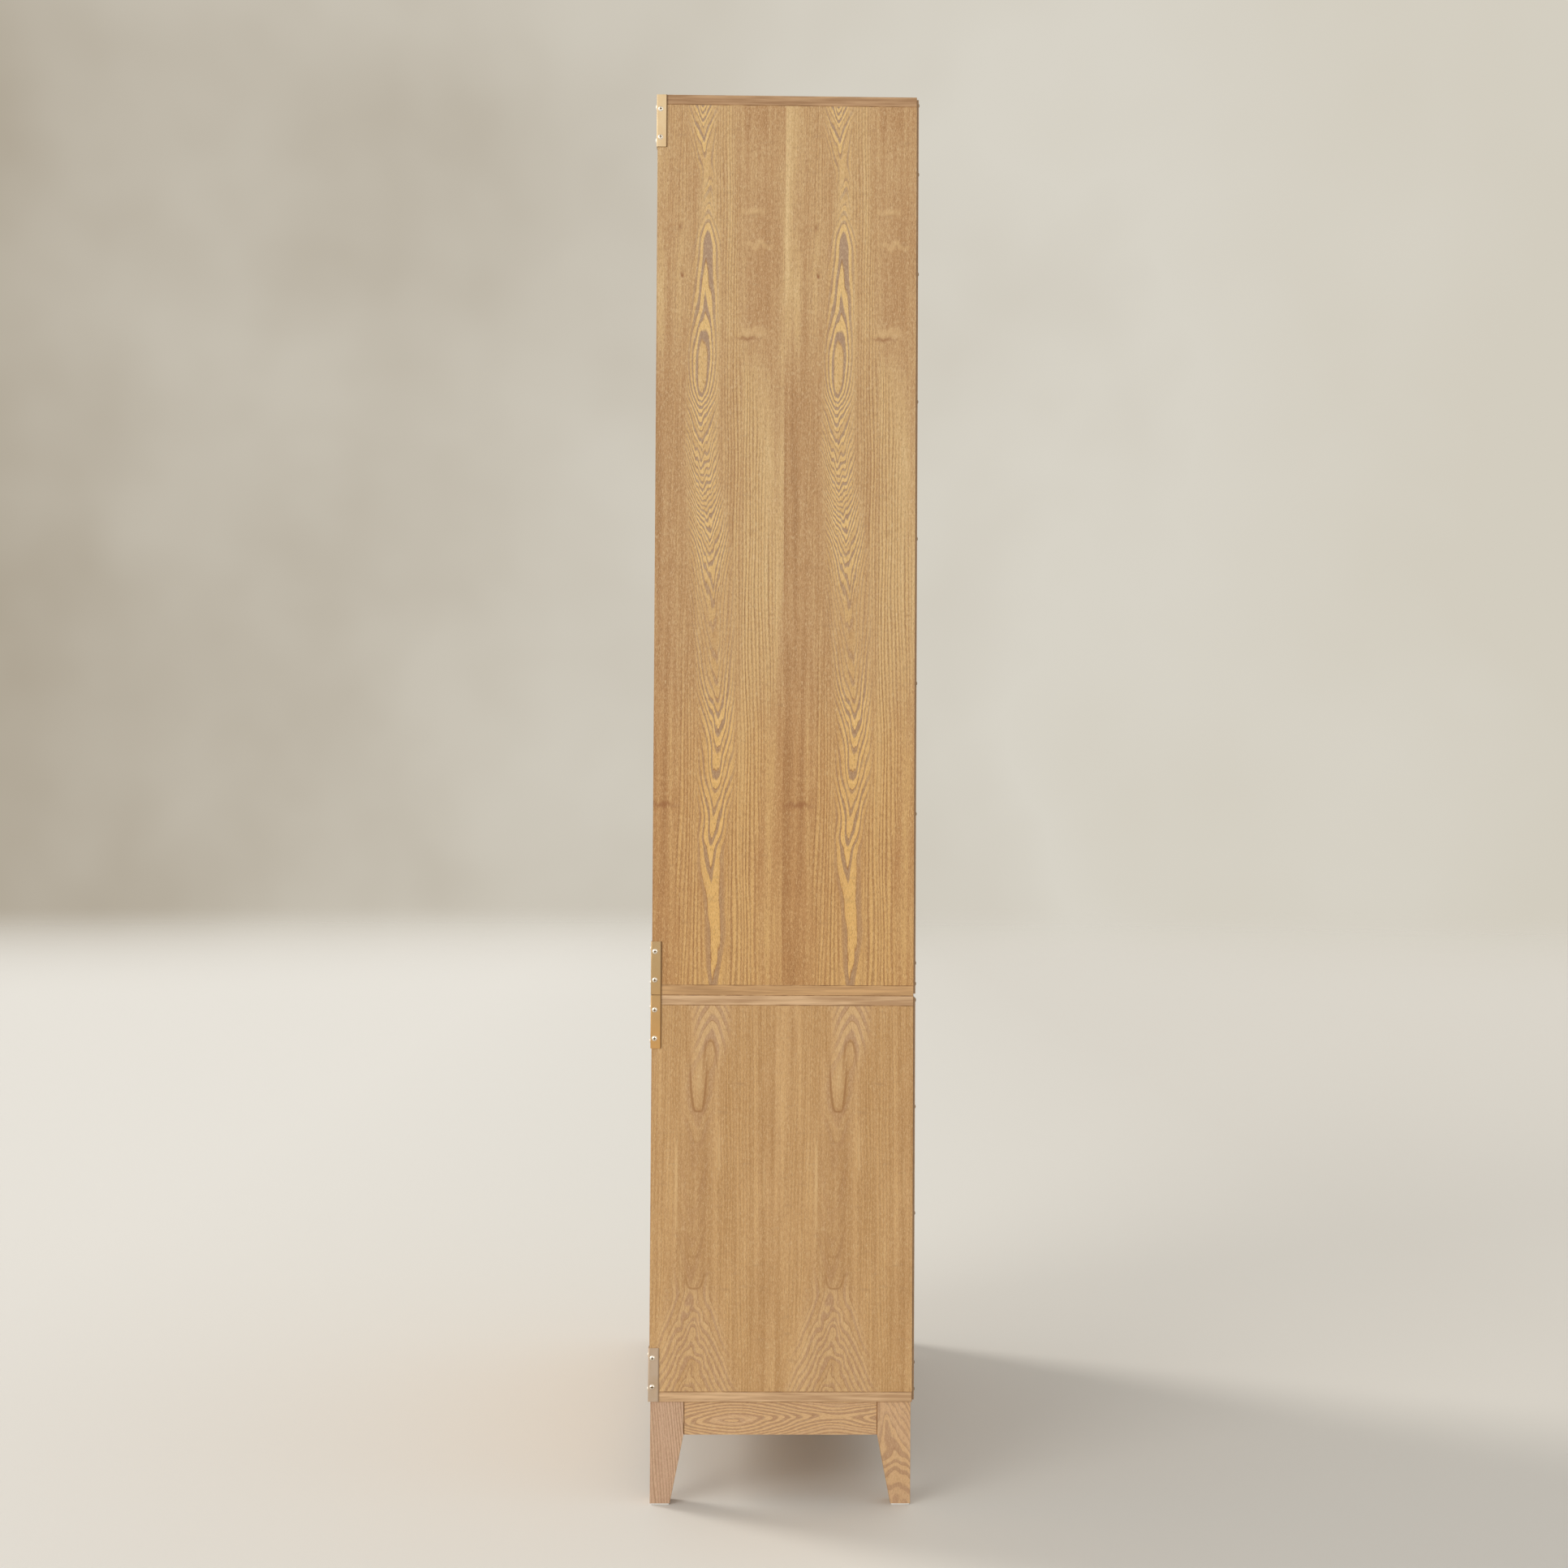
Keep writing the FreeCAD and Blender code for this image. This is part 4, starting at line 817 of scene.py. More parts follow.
def ash(name, grain, face, span, figure, seam=0.0, leaf=None, banded=True, tones=TONES):
    """Ash with its grain along one axis on a face across another. The figure runs over span, in
    millimetres along the grain, and repeats from the seam on by the width of a leaf, if that is
    given."""
    material, add = blank_material(name)
    bench = leaf_place(add, grain, face, span, seam, leaf)
    for step in FIGURE_STEPS:
        step(add, bench, figure, tones)
    if banded:
        edge_strip(add, bench, face, tones)
    lacquer(add, bench)
    return material


print("the figure takes", len(FIGURE_STEPS), "steps, between the leaf's place and the lacquer")

# %% [markdown]
# ### Dressing the frame
# The frame's pieces already have a slot for a material, so a finish is only put in that slot. Their
# meshes stay as they are. Two more helpers read where a piece begins and ends, because figures and
# small pieces are placed by the boards' own sizes, and one finds pieces by the ends of their names.


# %% Dressing helpers
def dress(material, *names):
    """Gives one finish to the named pieces of the frame."""
    for name in names:
        nodes[name].material_slots[0].material = material
    print(material.name, "on", len(names), "pieces")


def corners(name):
    """A piece's lowest and highest corner, in millimetres."""
    low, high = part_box(name)
    return np.array(low) / MM, np.array(high) / MM


def reach(name, axis):
    """A piece's lowest and highest place along an axis, in millimetres."""
    return tuple(corner["xyz".index(axis)] for corner in corners(name))


def ending(*ends):
    """The names of the frame's pieces that end in one of these words."""
    return [name for name in nodes if name.endswith(ends)]


print("a tall side stands from", reach("upper_right_side", "z")[0], "mm up")

# %% [markdown]
# ## The boards
# Each side of the real cabinet shows two leaves of veneer from the same slice, laid side by side
# without turning one over, so the same cathedral shows twice. That is called a slip match, and here
# the leaves repeat every 207 mm, or 211 mm on the short sides, with a seam near the middle of the
# board. The level boards differ only in the tone of their edge strips.

# %% Veneered boards
LEAF_MM = 207.0
SHORT_LEAF_MM = 211.0
SEAM_OFF_MM = -2.0
BOARD_SPAN_MM = (-820.0, 640.0)
SHELF_SPAN_MM = (-600.0, 900.0)
SHELF_SEAM_OFF_MM = 40.0
SHORT_TONES = dict(
    TONES, early="#B58E6C", late="#D5AF7D", line="#9A6C3B", line_dark="#A0733F", line_pale="#CFA468",
    leaf=("#AC7E49", "#B88C57", "#C39864", "#CEA46E", "#D8B27B"),
)
LOW_TONES = dict(TONES, edge_dark="#B38D66", edge_pale="#D8B48B")
# The top board's edge strips are darker: painted shade.
TOP_PAINTED_SHADE_TONES = dict(TONES, edge_dark="#9A744E", edge_pale="#BC966F")

seam = sum(reach("upper_right_side", "y")) / 2 + SEAM_OFF_MM
tall_rise, short_rise = reach("upper_right_side", "z"), reach("lower_right_side", "z")
tall_side = ash("ash_veneer_tall_side", "z", "x", tall_rise, TALL_LEAF, seam, LEAF_MM)
dress(tall_side, "upper_left_side", "upper_right_side")
short_side = ash(
    "ash_veneer_short_side", "z", "x", short_rise, SHORT_LEAF, seam, SHORT_LEAF_MM, tones=SHORT_TONES
)
dress(short_side, "lower_left_side", "lower_right_side")

level_boards = {
    "level": (TONES, ["upper_bottom_board"]),
    "low": (LOW_TONES, ["lower_top_board", "lower_bottom_board"]),
    "top": (TOP_PAINTED_SHADE_TONES, ["upper_top_board"]),
}
for kind, (tones, boards) in level_boards.items():
    name = f"ash_veneer_{kind}_board"
    board = ash(name, "x", "z", BOARD_SPAN_MM, TALL_LEAF, seam, LEAF_MM, tones=tones)
    dress(board, *boards)
shelf_seam = seam + SHELF_SEAM_OFF_MM
shelf = ash("ash_veneer_shelf", "x", "z", SHELF_SPAN_MM, SHORT_LEAF, shelf_seam, LEAF_MM)
dress(shelf, "upper_shelf_low", "upper_shelf_middle", "upper_shelf_high", "lower_shelf")

# %% [markdown]
# ## Plain doors
# A door below is one veneered slab with two leaves of its own. Its figure is cut from the upper
# half of the tall leaf, where the arches are boldest, with an even tone and no scars, as a maker
# picks clean leaves for the front. A new figure could be drawn, but this one already matches the
# sides.

# %% Plain doors
DOOR_PAST_MM = (620.0, 120.0)
CLEAN_TONE = [(0, 0.5), (40, 0.38), (80, 0.45), (115, 0.55), (150, 0.45), (207, 0.5)]
DOOR_LEAF = dict(TALL_LEAF, foot=CLEAN_TONE, middle=CLEAN_TONE, head=CLEAN_TONE, marks=[])

door_foot, door_head = reach("right_lower_door_panel", "z")
door_left, door_right = reach("right_lower_door_panel", "x")
door_span = (door_foot - DOOR_PAST_MM[0], door_head + DOOR_PAST_MM[1])
half_width = (door_right - door_left) / 2
plain_door = ash("ash_veneer_door", "z", "y", door_span, DOOR_LEAF, door_left, half_width)
dress(plain_door, "left_lower_door_panel", "right_lower_door_panel")

# %% [markdown]
# ## Solid ash
# Legs, aprons and door frames are sawn from the solid. The front legs are straight grained, the
# back ones show broad arcs, and an apron has its cathedral lying down. Only the figure's curves
# change, the recipe is the same. One more key, through, lets the figure move on with the depth into
# the wood.

# %% Figures of solid ash
SOLID_TONES = dict(
    TONES, early="#AD845E", late="#D8B07D", line="#97693F", line_dark="#A17853", line_pale="#CBA681",
    leaf=("#B9926F", "#C29B78", "#C9A27F", "#CFA985", "#D6B28D"),
)
PINK_TONES = dict(
    SOLID_TONES, line_dark="#98714F", line_pale="#D0AD90",
    leaf=("#B69278", "#BE9A80", "#C5A187", "#CBA88E", "#D1B096"),
)
SOLID_TONE = [(0, 0.5), (200, 0.5)]
STRAIGHT = {
    "depth": even(40),
    "crown": even(100),
    "slope": even(0.6),
    "round": 4.0,
    "ring": 2.0,
    "zone": even(0),
    "outer": even(200),
    "vivid": even(0),
    "lines": even(0.9),
    "left": even(1),
    "left_end": -180.0,
    "spacing": (4.4, 4.2),
    "wiggle": even(0.3),
    "waves": (7.0, 60.0, 100.0),
    "warp": 0.3,
    "speckle": 0.6,
    "foot": SOLID_TONE,
    "middle": SOLID_TONE,
    "head": SOLID_TONE,
    "rise": [(0.0, 0.0), (1.0, 1.0)],
    "change": [(0.0, 0.0), (1.0, 1.0)],
    "through": 0.8,
}
ARCHED = dict(STRAIGHT, zone=even(200), vivid=even(0.75), lines=even(0), through=0.35)
ARCS = dict(
    ARCHED,
    depth=[(0.0, 24), (0.3, 34), (0.45, 44), (0.6, 48), (1.0, 56)],
    crown=[(0.0, 34), (0.4, 26), (1.0, 6)],
    slope=[(0.0, 0.2), (0.5, 0.35), (1.0, 0.8)],
    ring=6.0,
    wiggle=[(0.0, 4), (1.0, 2)],
    waves=(26.0, 46.0, 100.0),
    warp=1.5,
    vivid=even(0.6),
)
LYING = dict(
    ARCHED,
    depth=[
        (0.0, 36), (0.12, 30), (0.287, 24.9), (0.45, 30), (0.62, 38), (0.75, 41), (0.85, 39), (1.0, 34),
    ],
    crown=[(0.0, 24), (0.3, 22), (0.6, 26), (1.0, 25)],
    ring=2.8,
    wiggle=even(0.9),
    waves=(12.0, 50.0, 100.0),
    warp=0.6,
)
print("rings in the back legs are", ARCS["ring"], "mm deep, and in the aprons", LYING["ring"], "mm")

# %% [markdown]
# ### Legs, aprons and door frames
# Each figure starts at an edge of its own piece. Solid wood has no edge strip, so the grain runs
# round all four faces, and the hidden blocks and tongues share the plain finish of the rails.

# %% Legs, aprons and door frames
solid = partial(ash, banded=False)
leg_rise = reach("front_right_leg", "z")
front_edge, back_edge = (reach(f"{row}_right_leg", "y")[0] for row in ("front", "back"))
front_leg = solid("solid_ash_front_leg", "z", "x", leg_rise, STRAIGHT, front_edge, tones=PINK_TONES)
dress(front_leg, "front_left_leg", "front_right_leg")
back_leg = solid("solid_ash_back_leg", "z", "x", leg_rise, ARCS, back_edge, tones=SOLID_TONES)
dress(back_leg, "back_left_leg", "back_right_leg")

apron_foot = reach("right_apron", "z")[0]
side_run, long_run = reach("right_apron", "y"), reach("front_apron", "x")
side_apron = solid("solid_ash_side_apron", "y", "x", side_run, LYING, apron_foot, tones=SOLID_TONES)
dress(side_apron, "left_apron", "right_apron")
long_apron = solid("solid_ash_long_apron", "x", "y", long_run, LYING, apron_foot, tones=SOLID_TONES)
dress(long_apron, "front_apron", "back_apron")

upright = solid("solid_ash_upright", "z", "y", reach("right_glass_door_hinge_stile", "z"), STRAIGHT)
level = solid("solid_ash_level", "x", "y", reach("right_glass_door_top_rail", "x"), STRAIGHT)
for hand in ("left", "right"):
    door = f"{hand}_glass_door"
    dress(upright, f"{door}_hinge_stile", f"{door}_meeting_stile", f"{door}_glass_beads")
    dress(level, f"{door}_bottom_rail", f"{door}_top_rail")
dress(level, "corner_blocks", "joint_tongues")

# %% [markdown]
# ## Back panels
# A back is a thin board that shows on both faces: veneer inside, where it is seen through the
# glass, and plain brown backing paper outside. Each face could have a material of its own, but the
# frame's meshes stay as they are, so the face's direction chooses between the two in one material.
# Paper fibres are drawn coarser than they are, to show.

# %% Back panels
BACK_SEAM_MM = -480.0
BACK_LEAF_MM = 240.0
PAPER_FIBRE_MM = 2.9
PAPER_DETAIL = 4.0
PAPER_STOPS = [(0.3, "#957656"), (0.7, "#A78765")]
INSIDE_FACES = -0.5

back_rise = reach("upper_back_panel", "z")
panel = ash("veneered_back_board", "z", "y", back_rise, SHORT_LEAF, BACK_SEAM_MM, BACK_LEAF_MM)
dress(panel, "upper_back_panel", "lower_back_panel")
add = partial(node, panel.node_tree)
surface = panel.node_tree.nodes["Principled BSDF"]
inside = surface.inputs["Base Color"].links[0].from_socket
paper = add("ValToRGB", [patches(add, PAPER_FIBRE_MM, PAPER_DETAIL)], stops=PAPER_STOPS)
outward = add("SeparateXYZ", [add("TexCoord", out="Normal")], out="Y")
behind = maths(add, outward, ("GREATER_THAN", INSIDE_FACES))
panel.node_tree.links.new(laid_over(add, behind, inside, paper), surface.inputs["Base Color"])

# %% [markdown]
# ## Soft edges
# No real board has a knife edge: sanding takes about a millimetre off, and stain and hands colour
# that strip. The frame's meshes are loose triangles, so a Weld closes them first, and a Bevel then
# rounds every sharp edge and gives the new faces their own, slightly rubbed finish.

# %% Edges
RUBBED_MM = 22.2
RUBBED_DETAIL = 3.0
RUBBED_STOPS = [(0.36, "#8A6440"), (0.52, "#A87F53"), (0.68, "#C8A275")]
RUBBED_LACQUER = {"Roughness": 0.5, "IOR": 1.5}
WELD_M = 1e-5
ROUND_STEPS = 2
SHARP_DEGREES = 50
BOARD_EDGE_MM = 0.7
LEG_EDGE_MM = 1.5
FRAME_EDGE_MM = 1.0
SMALL_EDGE_MM = 0.6

rubbed, add = blank_material("ash_rubbed_edge")
worn = add("ValToRGB", [patches(add, RUBBED_MM, RUBBED_DETAIL)], stops=RUBBED_STOPS)
close_with(add, {"Base Color": worn, **RUBBED_LACQUER})


def soften(width, *names, edge=None):
    """Rounds the edges of the named pieces over a width in millimetres, with an own finish there if
    one is given."""
    for name in names:
        piece = nodes[name]
        weld = piece.modifiers.new("close", "WELD")
        weld.merge_threshold = WELD_M
        bevel = piece.modifiers.new("round", "BEVEL")
        bevel.width = width * MM
        bevel.segments = ROUND_STEPS
        bevel.limit_method = "ANGLE"
        bevel.angle_limit = math.radians(SHARP_DEGREES)
        if edge:
            piece.data.materials.append(edge)
            bevel.material = len(piece.data.materials) - 1
    print("edges of", width, "mm on", len(names), "pieces")


soften(BOARD_EDGE_MM, *ending("_side", "_board", "_shelf", "_low", "_middle", "_high"), edge=rubbed)
soften(LEG_EDGE_MM, *ending("_leg"), edge=rubbed)
soften(FRAME_EDGE_MM, *ending("_apron", "_stile", "_rail", "_door_panel"), edge=rubbed)
soften(SMALL_EDGE_MM, *ending("_glass_beads"), "corner_blocks")

# %% [markdown]
# ## Brass
# The corners are bent from sheet brass and brushed satin, and their screws, the knobs and the shelf
# pins are turned and polished. A metal gets its colour from what it reflects, so the recipe is
# short: a pale yellow, full metal, and a roughness that fine brush marks vary. Real brush marks are
# some hundredths of a millimetre apart: here they are 0.8 mm, to show. The four corners on a side
# get painted light: the shade follows the height, for how brightly each corner mirrors the room.
# A line of painted shade runs along the inner ends of the sheet.

# %% Brass recipe
BRUSH_MM = (0.8, 30.0)
GRAIN_MM = (3.0, 3.0)
MARKS_MIDDLE = (0.3, 0.7)
TARNISH = "#B08C5A"
TARNISH_MM = 28.6
TARNISH_DETAIL = 3.0
TARNISH_SHARES = (0.4, 0.9, 0.0, 0.5)
# A line of painted shade along the sheet's inner ends: its colour, width and shares by height.
PAINTED_SHADE_LINE = "#5E3F26"
PAINTED_SHADE_LINE_MM = 1.5
PAINTED_SHADE_LINE_SHARES = (0.15, 0.4, 0.35, 0.85)


def painted_shade_line(add, here, height, ends):
    """Painted shade: one where a point is nearer than the line's width to the inner end of the side
    leaf, by its y, or of the front leaf, by its x to either side, times a share that grows with height."""
    place = add("SeparateXYZ", [add("Mapping", {"Vector": here, "Scale": [1 / MM] * 3})]).node.outputs
    side = maths(add, place["Y"], ("GREATER_THAN", ends[1] - PAINTED_SHADE_LINE_MM))
    front = maths(add, place["X"], ("ABSOLUTE",), ("LESS_THAN", ends[0] + PAINTED_SHADE_LINE_MM))
    share = add("MapRange", [height, *PAINTED_SHADE_LINE_SHARES])
    return maths(add, side, ("MAXIMUM", front), ("MULTIPLY", share))


def brass(name, shades, roughness, spread, brushed=False, ends=None):
    """Brass in shades that follow each other up the cabinet, each given with its height in metres.
    Ends are the x and y of the inner ends of a bent sheet, in millimetres, where a line of painted
    shade is laid."""
    material, add = blank_material(name)
    here = add("TexCoord", out="Object")
    wide, long = BRUSH_MM if brushed else GRAIN_MM
    scale = [1 / (wide * MM), 1 / (wide * MM), 1 / (long * MM)]
    marks = add("TexNoise", {"Vector": add("Mapping", {"Vector": here, "Scale": scale}), "Scale": 1.0})
    rough = add("MapRange", [marks, *MARKS_MIDDLE, roughness - spread, roughness + spread])
    top = shades[-1][0]
    height = add("MapRange", [add("SeparateXYZ", [here], out="Z"), 0.0, top])
    # On the corners these shades are painted light by height.
    colour = add("ValToRGB", [height], stops=[(level / top, code) for level, code in shades])
    cloud = patches(add, TARNISH_MM, TARNISH_DETAIL)
    colour = laid_over(add, add("MapRange", [cloud, *TARNISH_SHARES]), colour, linear(TARNISH))
    if ends:
        # painted shade along the inner ends of the sheet
        colour = laid_over(add, painted_shade_line(add, here, height, ends), colour, linear(PAINTED_SHADE_LINE))
    close_with(add, {"Base Color": colour, "Metallic": 1.0, "Roughness": rough})
    return material


print("brush marks of", BRUSH_MM[0], "mm and tarnish in patches of", TARNISH_MM, "mm")

# %% [markdown]
# ### Brass finishes
# One recipe gives the satin sheet of the corners and pivot plates, with painted light by height,
# the polish of knobs and pins, the paler polish of the screw heads, and a dark brass that paints
# the shade inside a screw's recess.

# %% Brass finishes
# Painted light: each corner's shade at its height in metres stands in for how brightly it mirrors the
# room there.
SHEET_PAINTED_LIGHT = [(0.2, "#C4B09C"), (0.68, "#C4975F"), (0.8, "#B1956D"), (2.1, "#C6AF8B")]
SHEET_EDGE_MM = 0.25

bracket_low, bracket_high = corners("upper_corner_brackets")
sheet_ends = (bracket_high[0] - (bracket_high[1] - bracket_low[1]), bracket_high[1])
satin_brass = brass("satin_brass_sheet", SHEET_PAINTED_LIGHT, 0.42, 0.08, True, sheet_ends)
bright_brass = brass("polished_brass", even("#F3DFB4"), 0.16, 0.04)
pale_brass = brass("pale_polished_brass", even("#FFF8EA"), 0.12, 0.03)
# A dark brass paints the shade inside the screws' recesses.
painted_shade_brass = brass("brass_in_a_recess", even("#6E5434"), 0.5, 0.05)
sheet_brass = ending("_corner_brackets", "_pivot_plates")
dress(satin_brass, *sheet_brass)
soften(SHEET_EDGE_MM, *sheet_brass)

# %% [markdown]
# ## Turned pieces
# Screws, pins and knobs are all solids of revolution: a profile of radius and height, carried round
# an axis. A modifier could spin each one, but as arrays all copies come out of one product: the
# profile times the circle, then turned and moved to every place at once.

# %% Turning helpers
SMOOTH_DEGREES = 35
# Axes that take Z to each direction: columns are the images of X, Y and Z.
TURNS = {
    "+x": np.array([[0, 0, 1], [1, 0, 0], [0, 1, 0]], float),
    "-x": np.array([[0, 0, -1], [-1, 0, 0], [0, 1, 0]], float),
    "+y": np.array([[-1, 0, 0], [0, 0, 1], [0, 1, 0]], float),
    "-y": np.array([[1, 0, 0], [0, 0, -1], [0, 1, 0]], float),
}


def turned_points(profile, sides, outline=None):
    """Carries a profile of (radius, height) round Z: each point is radius times (cos, sin) at its
    height. An outline maps the angles to a share of the radius, for rows where the profile's third
    column is 1."""
    angle = np.linspace(0, 2 * np.pi, sides, endpoint=False)
    radius, height = (profile[:, [column]] * np.ones(sides) for column in (0, 1))
    if outline is not None:
        radius = np.where(profile[:, [2]] > 0, radius * outline(angle), radius)
    return np.stack([radius * np.cos(angle), radius * np.sin(angle), height], axis=-1)


def copies(points, places):
    """The same grid of points turned and moved to every (direction, place), in millimetres, with
    its faces."""
    rows, sides = points.shape[:2]
    turns = np.array([TURNS[direction] for direction, _ in places])
    moves = np.array([place for _, place in places], float)
    every = np.einsum("nij,vj->nvi", turns, points.reshape(-1, 3)) + moves[:, None, :]
    step = np.arange(len(places))[:, None, None] * rows * sides
    return every * MM, (sheet_faces(rows, sides)[None] + step).reshape(-1, 4)


def turned_piece(name, profile, sides, places, materials, body, replaced, outline=None, inner=0):
    """Copies of a turned shape as one piece that rides on a body and stands for pieces of the
    frame. The first rows of the profile, inner of them, get the second material."""
    points, faces = copies(turned_points(profile, sides, outline), places)
    second = np.repeat(np.arange(len(profile) - 1) < inner, sides).astype(int)
    piece = mesh_object(name, points, faces, SMOOTH_DEGREES, np.tile(second, len(places)))
    for material in materials:
        piece.data.materials.append(material)
    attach(piece, body)
    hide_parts(*replaced)
    print(name, "with", len(places), "copies and", len(piece.data.polygons), "faces")


print("turned pieces may point along", list(TURNS))

# %% [markdown]
# ## Bracket screws
# Every bracket is held by two domed screws on the side and two on the front. The dome is an arc,
# and the cross recess is the same arc's rows drawn in to a cross: at each angle, the smaller of the
# arm's length and the distance to its edge. A boolean could cut the cross, but drawn rows keep
# their faces clean.

# %% Bracket screws
SCREW_HEAD_MM = (8.0, 2.2)
SCREW_SHANK_MM = (3.0, 13.0)
SCREW_TIP_MM = 2.0
SCREW_RIM_MM = 0.12
SCREW_SIDES = 48
DOME_ROWS = 6
DOME_INSET_MM = (0.4, 0.15)
RECESS_MM = (2.2, 0.7, 1.5)
RECESS_TAPER = 0.75
RECESS_LIP_MM = 0.1
RECESS_ROWS = 2
SCREW_INSET_MM = 6.0
SCREW_END_MM = 22.0
SCREW_SPACING_MM = 43.0
SCREW_STAGGER_MM = 4.0
TINY = 1e-6


def cross(angle):
    """A cross in polar form, as a share of its arm's length."""
    length, half = RECESS_MM[:2]
    sine, cosine = np.abs(np.sin(angle)) + TINY, np.abs(np.cos(angle)) + TINY
    return np.minimum(length, np.maximum(half / sine, half / cosine)) / length


def screw_profile():
    """Recess floor, recess wall, dome, rim, underside and shank, as rows of radius, height and
    whether it is a cross. The dome is a ball through the rim whose top is the head's height."""
    radius, height = SCREW_HEAD_MM[0] / 2, SCREW_HEAD_MM[1]
    shank, length = SCREW_SHANK_MM[0] / 2, SCREW_SHANK_MM[1]
    arm, _, deep = RECESS_MM
    ball = (radius**2 + height**2) / (2 * height)
    outer = np.linspace(arm + DOME_INSET_MM[0], radius - DOME_INSET_MM[1], DOME_ROWS)
    arc = np.concatenate([[arm, arm + RECESS_LIP_MM], outer])
    dome = np.sqrt(ball**2 - arc**2) - ball + height
    radii = np.concatenate([[0, arm * RECESS_TAPER], arc, [radius, radius, shank, shank, 0]])
    below = [SCREW_RIM_MM, 0, 0, SCREW_TIP_MM - length, -length]
    heights = np.concatenate([[height - deep, height - deep], dome, below])
    row = np.arange(len(radii))
    return np.column_stack([radii, heights, (row >= 1) & (row <= RECESS_ROWS)])


def bracket_screw_places(carcass):
    """Side screws on both sides and front screws at all four corners, from the brackets' own
    box."""
    low, high = corners(f"{carcass}_corner_brackets")
    side_y = low[1] + SCREW_INSET_MM
    front_x = high[0] - SCREW_INSET_MM
    from_end = np.array([SCREW_END_MM, SCREW_END_MM + SCREW_SPACING_MM])
    front_end = from_end + np.array([-SCREW_STAGGER_MM, SCREW_STAGGER_MM])
    side_z = np.concatenate([low[2] + from_end, high[2] - from_end])
    front_z = np.concatenate([low[2] + front_end, high[2] - front_end])
    places = [("+x", (high[0], side_y, z)) for z in side_z]
    places += [("-x", (low[0], side_y, z)) for z in side_z]
    return places + [("-y", (x, low[1], z)) for x in (front_x, -front_x) for z in front_z]


for carcass in ("upper", "lower"):
    turned_piece(
        f"{carcass}_domed_screws",
        screw_profile(),
        SCREW_SIDES,
        bracket_screw_places(carcass),
        # the recess rows take the second material, a painted shade
        [pale_brass, painted_shade_brass],
        "cabinet",
        [f"{carcass}_bracket_screws"],
        cross,
        inner=RECESS_ROWS,
    )

# %% [markdown]
# ## Knobs
# Each door has one turned knob: a foot, a narrow neck, and a full round head with a soft rim. The
# profile is drawn from arcs, because light runs along a turned edge and shows any corner.

# %% Knobs
KNOB_RADIUS_MM = 11.0
KNOB_NECK_MM = 5.0
KNOB_HIGH_MM = 20.0
KNOB_STUD_MM = [(0, -14), (2.4, -14), (2.4, 0), (6, 0), (6, 1.2), (KNOB_NECK_MM, 2.2)]
KNOB_COVE_MM = (6.0, 6.3)
KNOB_COVE_FROM_MM = 5.5
KNOB_SIDE_FROM_MM = 13.0
KNOB_RIM_MM = 2.5
KNOB_RIM_FROM_MM = 16.5
KNOB_FACE_MM = 8.0
KNOB_FACE_BOW_MM = 8.5
KNOB_ROWS = 9
KNOB_SIDES = 64


def knob_profile():
    """Stud, neck with a cove that widens to the head, rounded rim and a face that falls by the
    square of its radius, as radius and height."""
    turn = np.linspace(0, np.pi / 2, KNOB_ROWS)
    cosine, sine = np.cos(turn), np.sin(turn)
    cove = np.column_stack([1 - cosine, sine]) * KNOB_COVE_MM + [KNOB_NECK_MM, KNOB_COVE_FROM_MM]
    rim = np.column_stack([cosine - 1, sine]) * KNOB_RIM_MM + [KNOB_RADIUS_MM, KNOB_RIM_FROM_MM]
    across = np.linspace(KNOB_FACE_MM, 0, KNOB_ROWS)
    face = np.column_stack([across, KNOB_HIGH_MM - (across / KNOB_FACE_BOW_MM) ** 2])
    return np.concatenate([KNOB_STUD_MM, cove, [(KNOB_RADIUS_MM, KNOB_SIDE_FROM_MM)], rim, face])


for hand in ("left", "right"):
    for kind in ("glass", "lower"):
        body = f"{hand}_{kind}_door"
        low, high = corners(f"{body}_knob")
        places = [("-y", ((low[0] + high[0]) / 2, low[1] + KNOB_HIGH_MM, (low[2] + high[2]) / 2))]
        made, replaced = f"{body}_turned_knob", [f"{body}_knob"]
        turned_piece(made, knob_profile(), KNOB_SIDES, places, [bright_brass], body, replaced)

# %% [markdown]
# ## Small steel
# Strike plates, joining bolts and the screws of the corner blocks are zinc plated steel: grey, a
# little cloudy from the bath, and fairly smooth. They could be turned again like the brass, but
# they hardly show, so they stay as they are in the frame.

# %% Zinc plated steel
BLOOM_MM = 8.3
BLOOM_DETAIL = 4.0
ZINC_STOPS = [(0.3, "#A9ABAC"), (0.7, "#C9CACB")]
ZINC_ROUGHNESS = (0.26, 0.42)
PLATE_EDGE_MM = 0.3

zinc, add = blank_material("zinc_plated_steel")
bloom = patches(add, BLOOM_MM, BLOOM_DETAIL)
grey = add("ValToRGB", [bloom], stops=ZINC_STOPS)
rough = add("MapRange", [bloom, 0.0, 1.0, *ZINC_ROUGHNESS])
close_with(add, {"Base Color": grey, "Metallic": 1.0, "Roughness": rough})
plates = ending("_strike_plate")
dress(zinc, *plates, "joining_bolts", "corner_block_screws")
soften(PLATE_EDGE_MM, *plates)

# %% [markdown]
# ## Shelf pins
# Each shelf rests on four short brass pins, some way in from its corners, with a little air over
# them. In the frame they have few sides, so they are turned again here, with round sides and
# rounded ends.

# %% Shelf pins
PIN_MM = (5.0, 17.0)
PIN_ROUND_MM = 0.8
PIN_ROWS = 5
PIN_SIDES = 32
PIN_INSET_MM = 40.0
PIN_CLEARANCE_MM = 0.2
SHELVES = {
    "upper": ("upper_shelf_low", "upper_shelf_middle", "upper_shelf_high"),
    "lower": ("lower_shelf",),
}


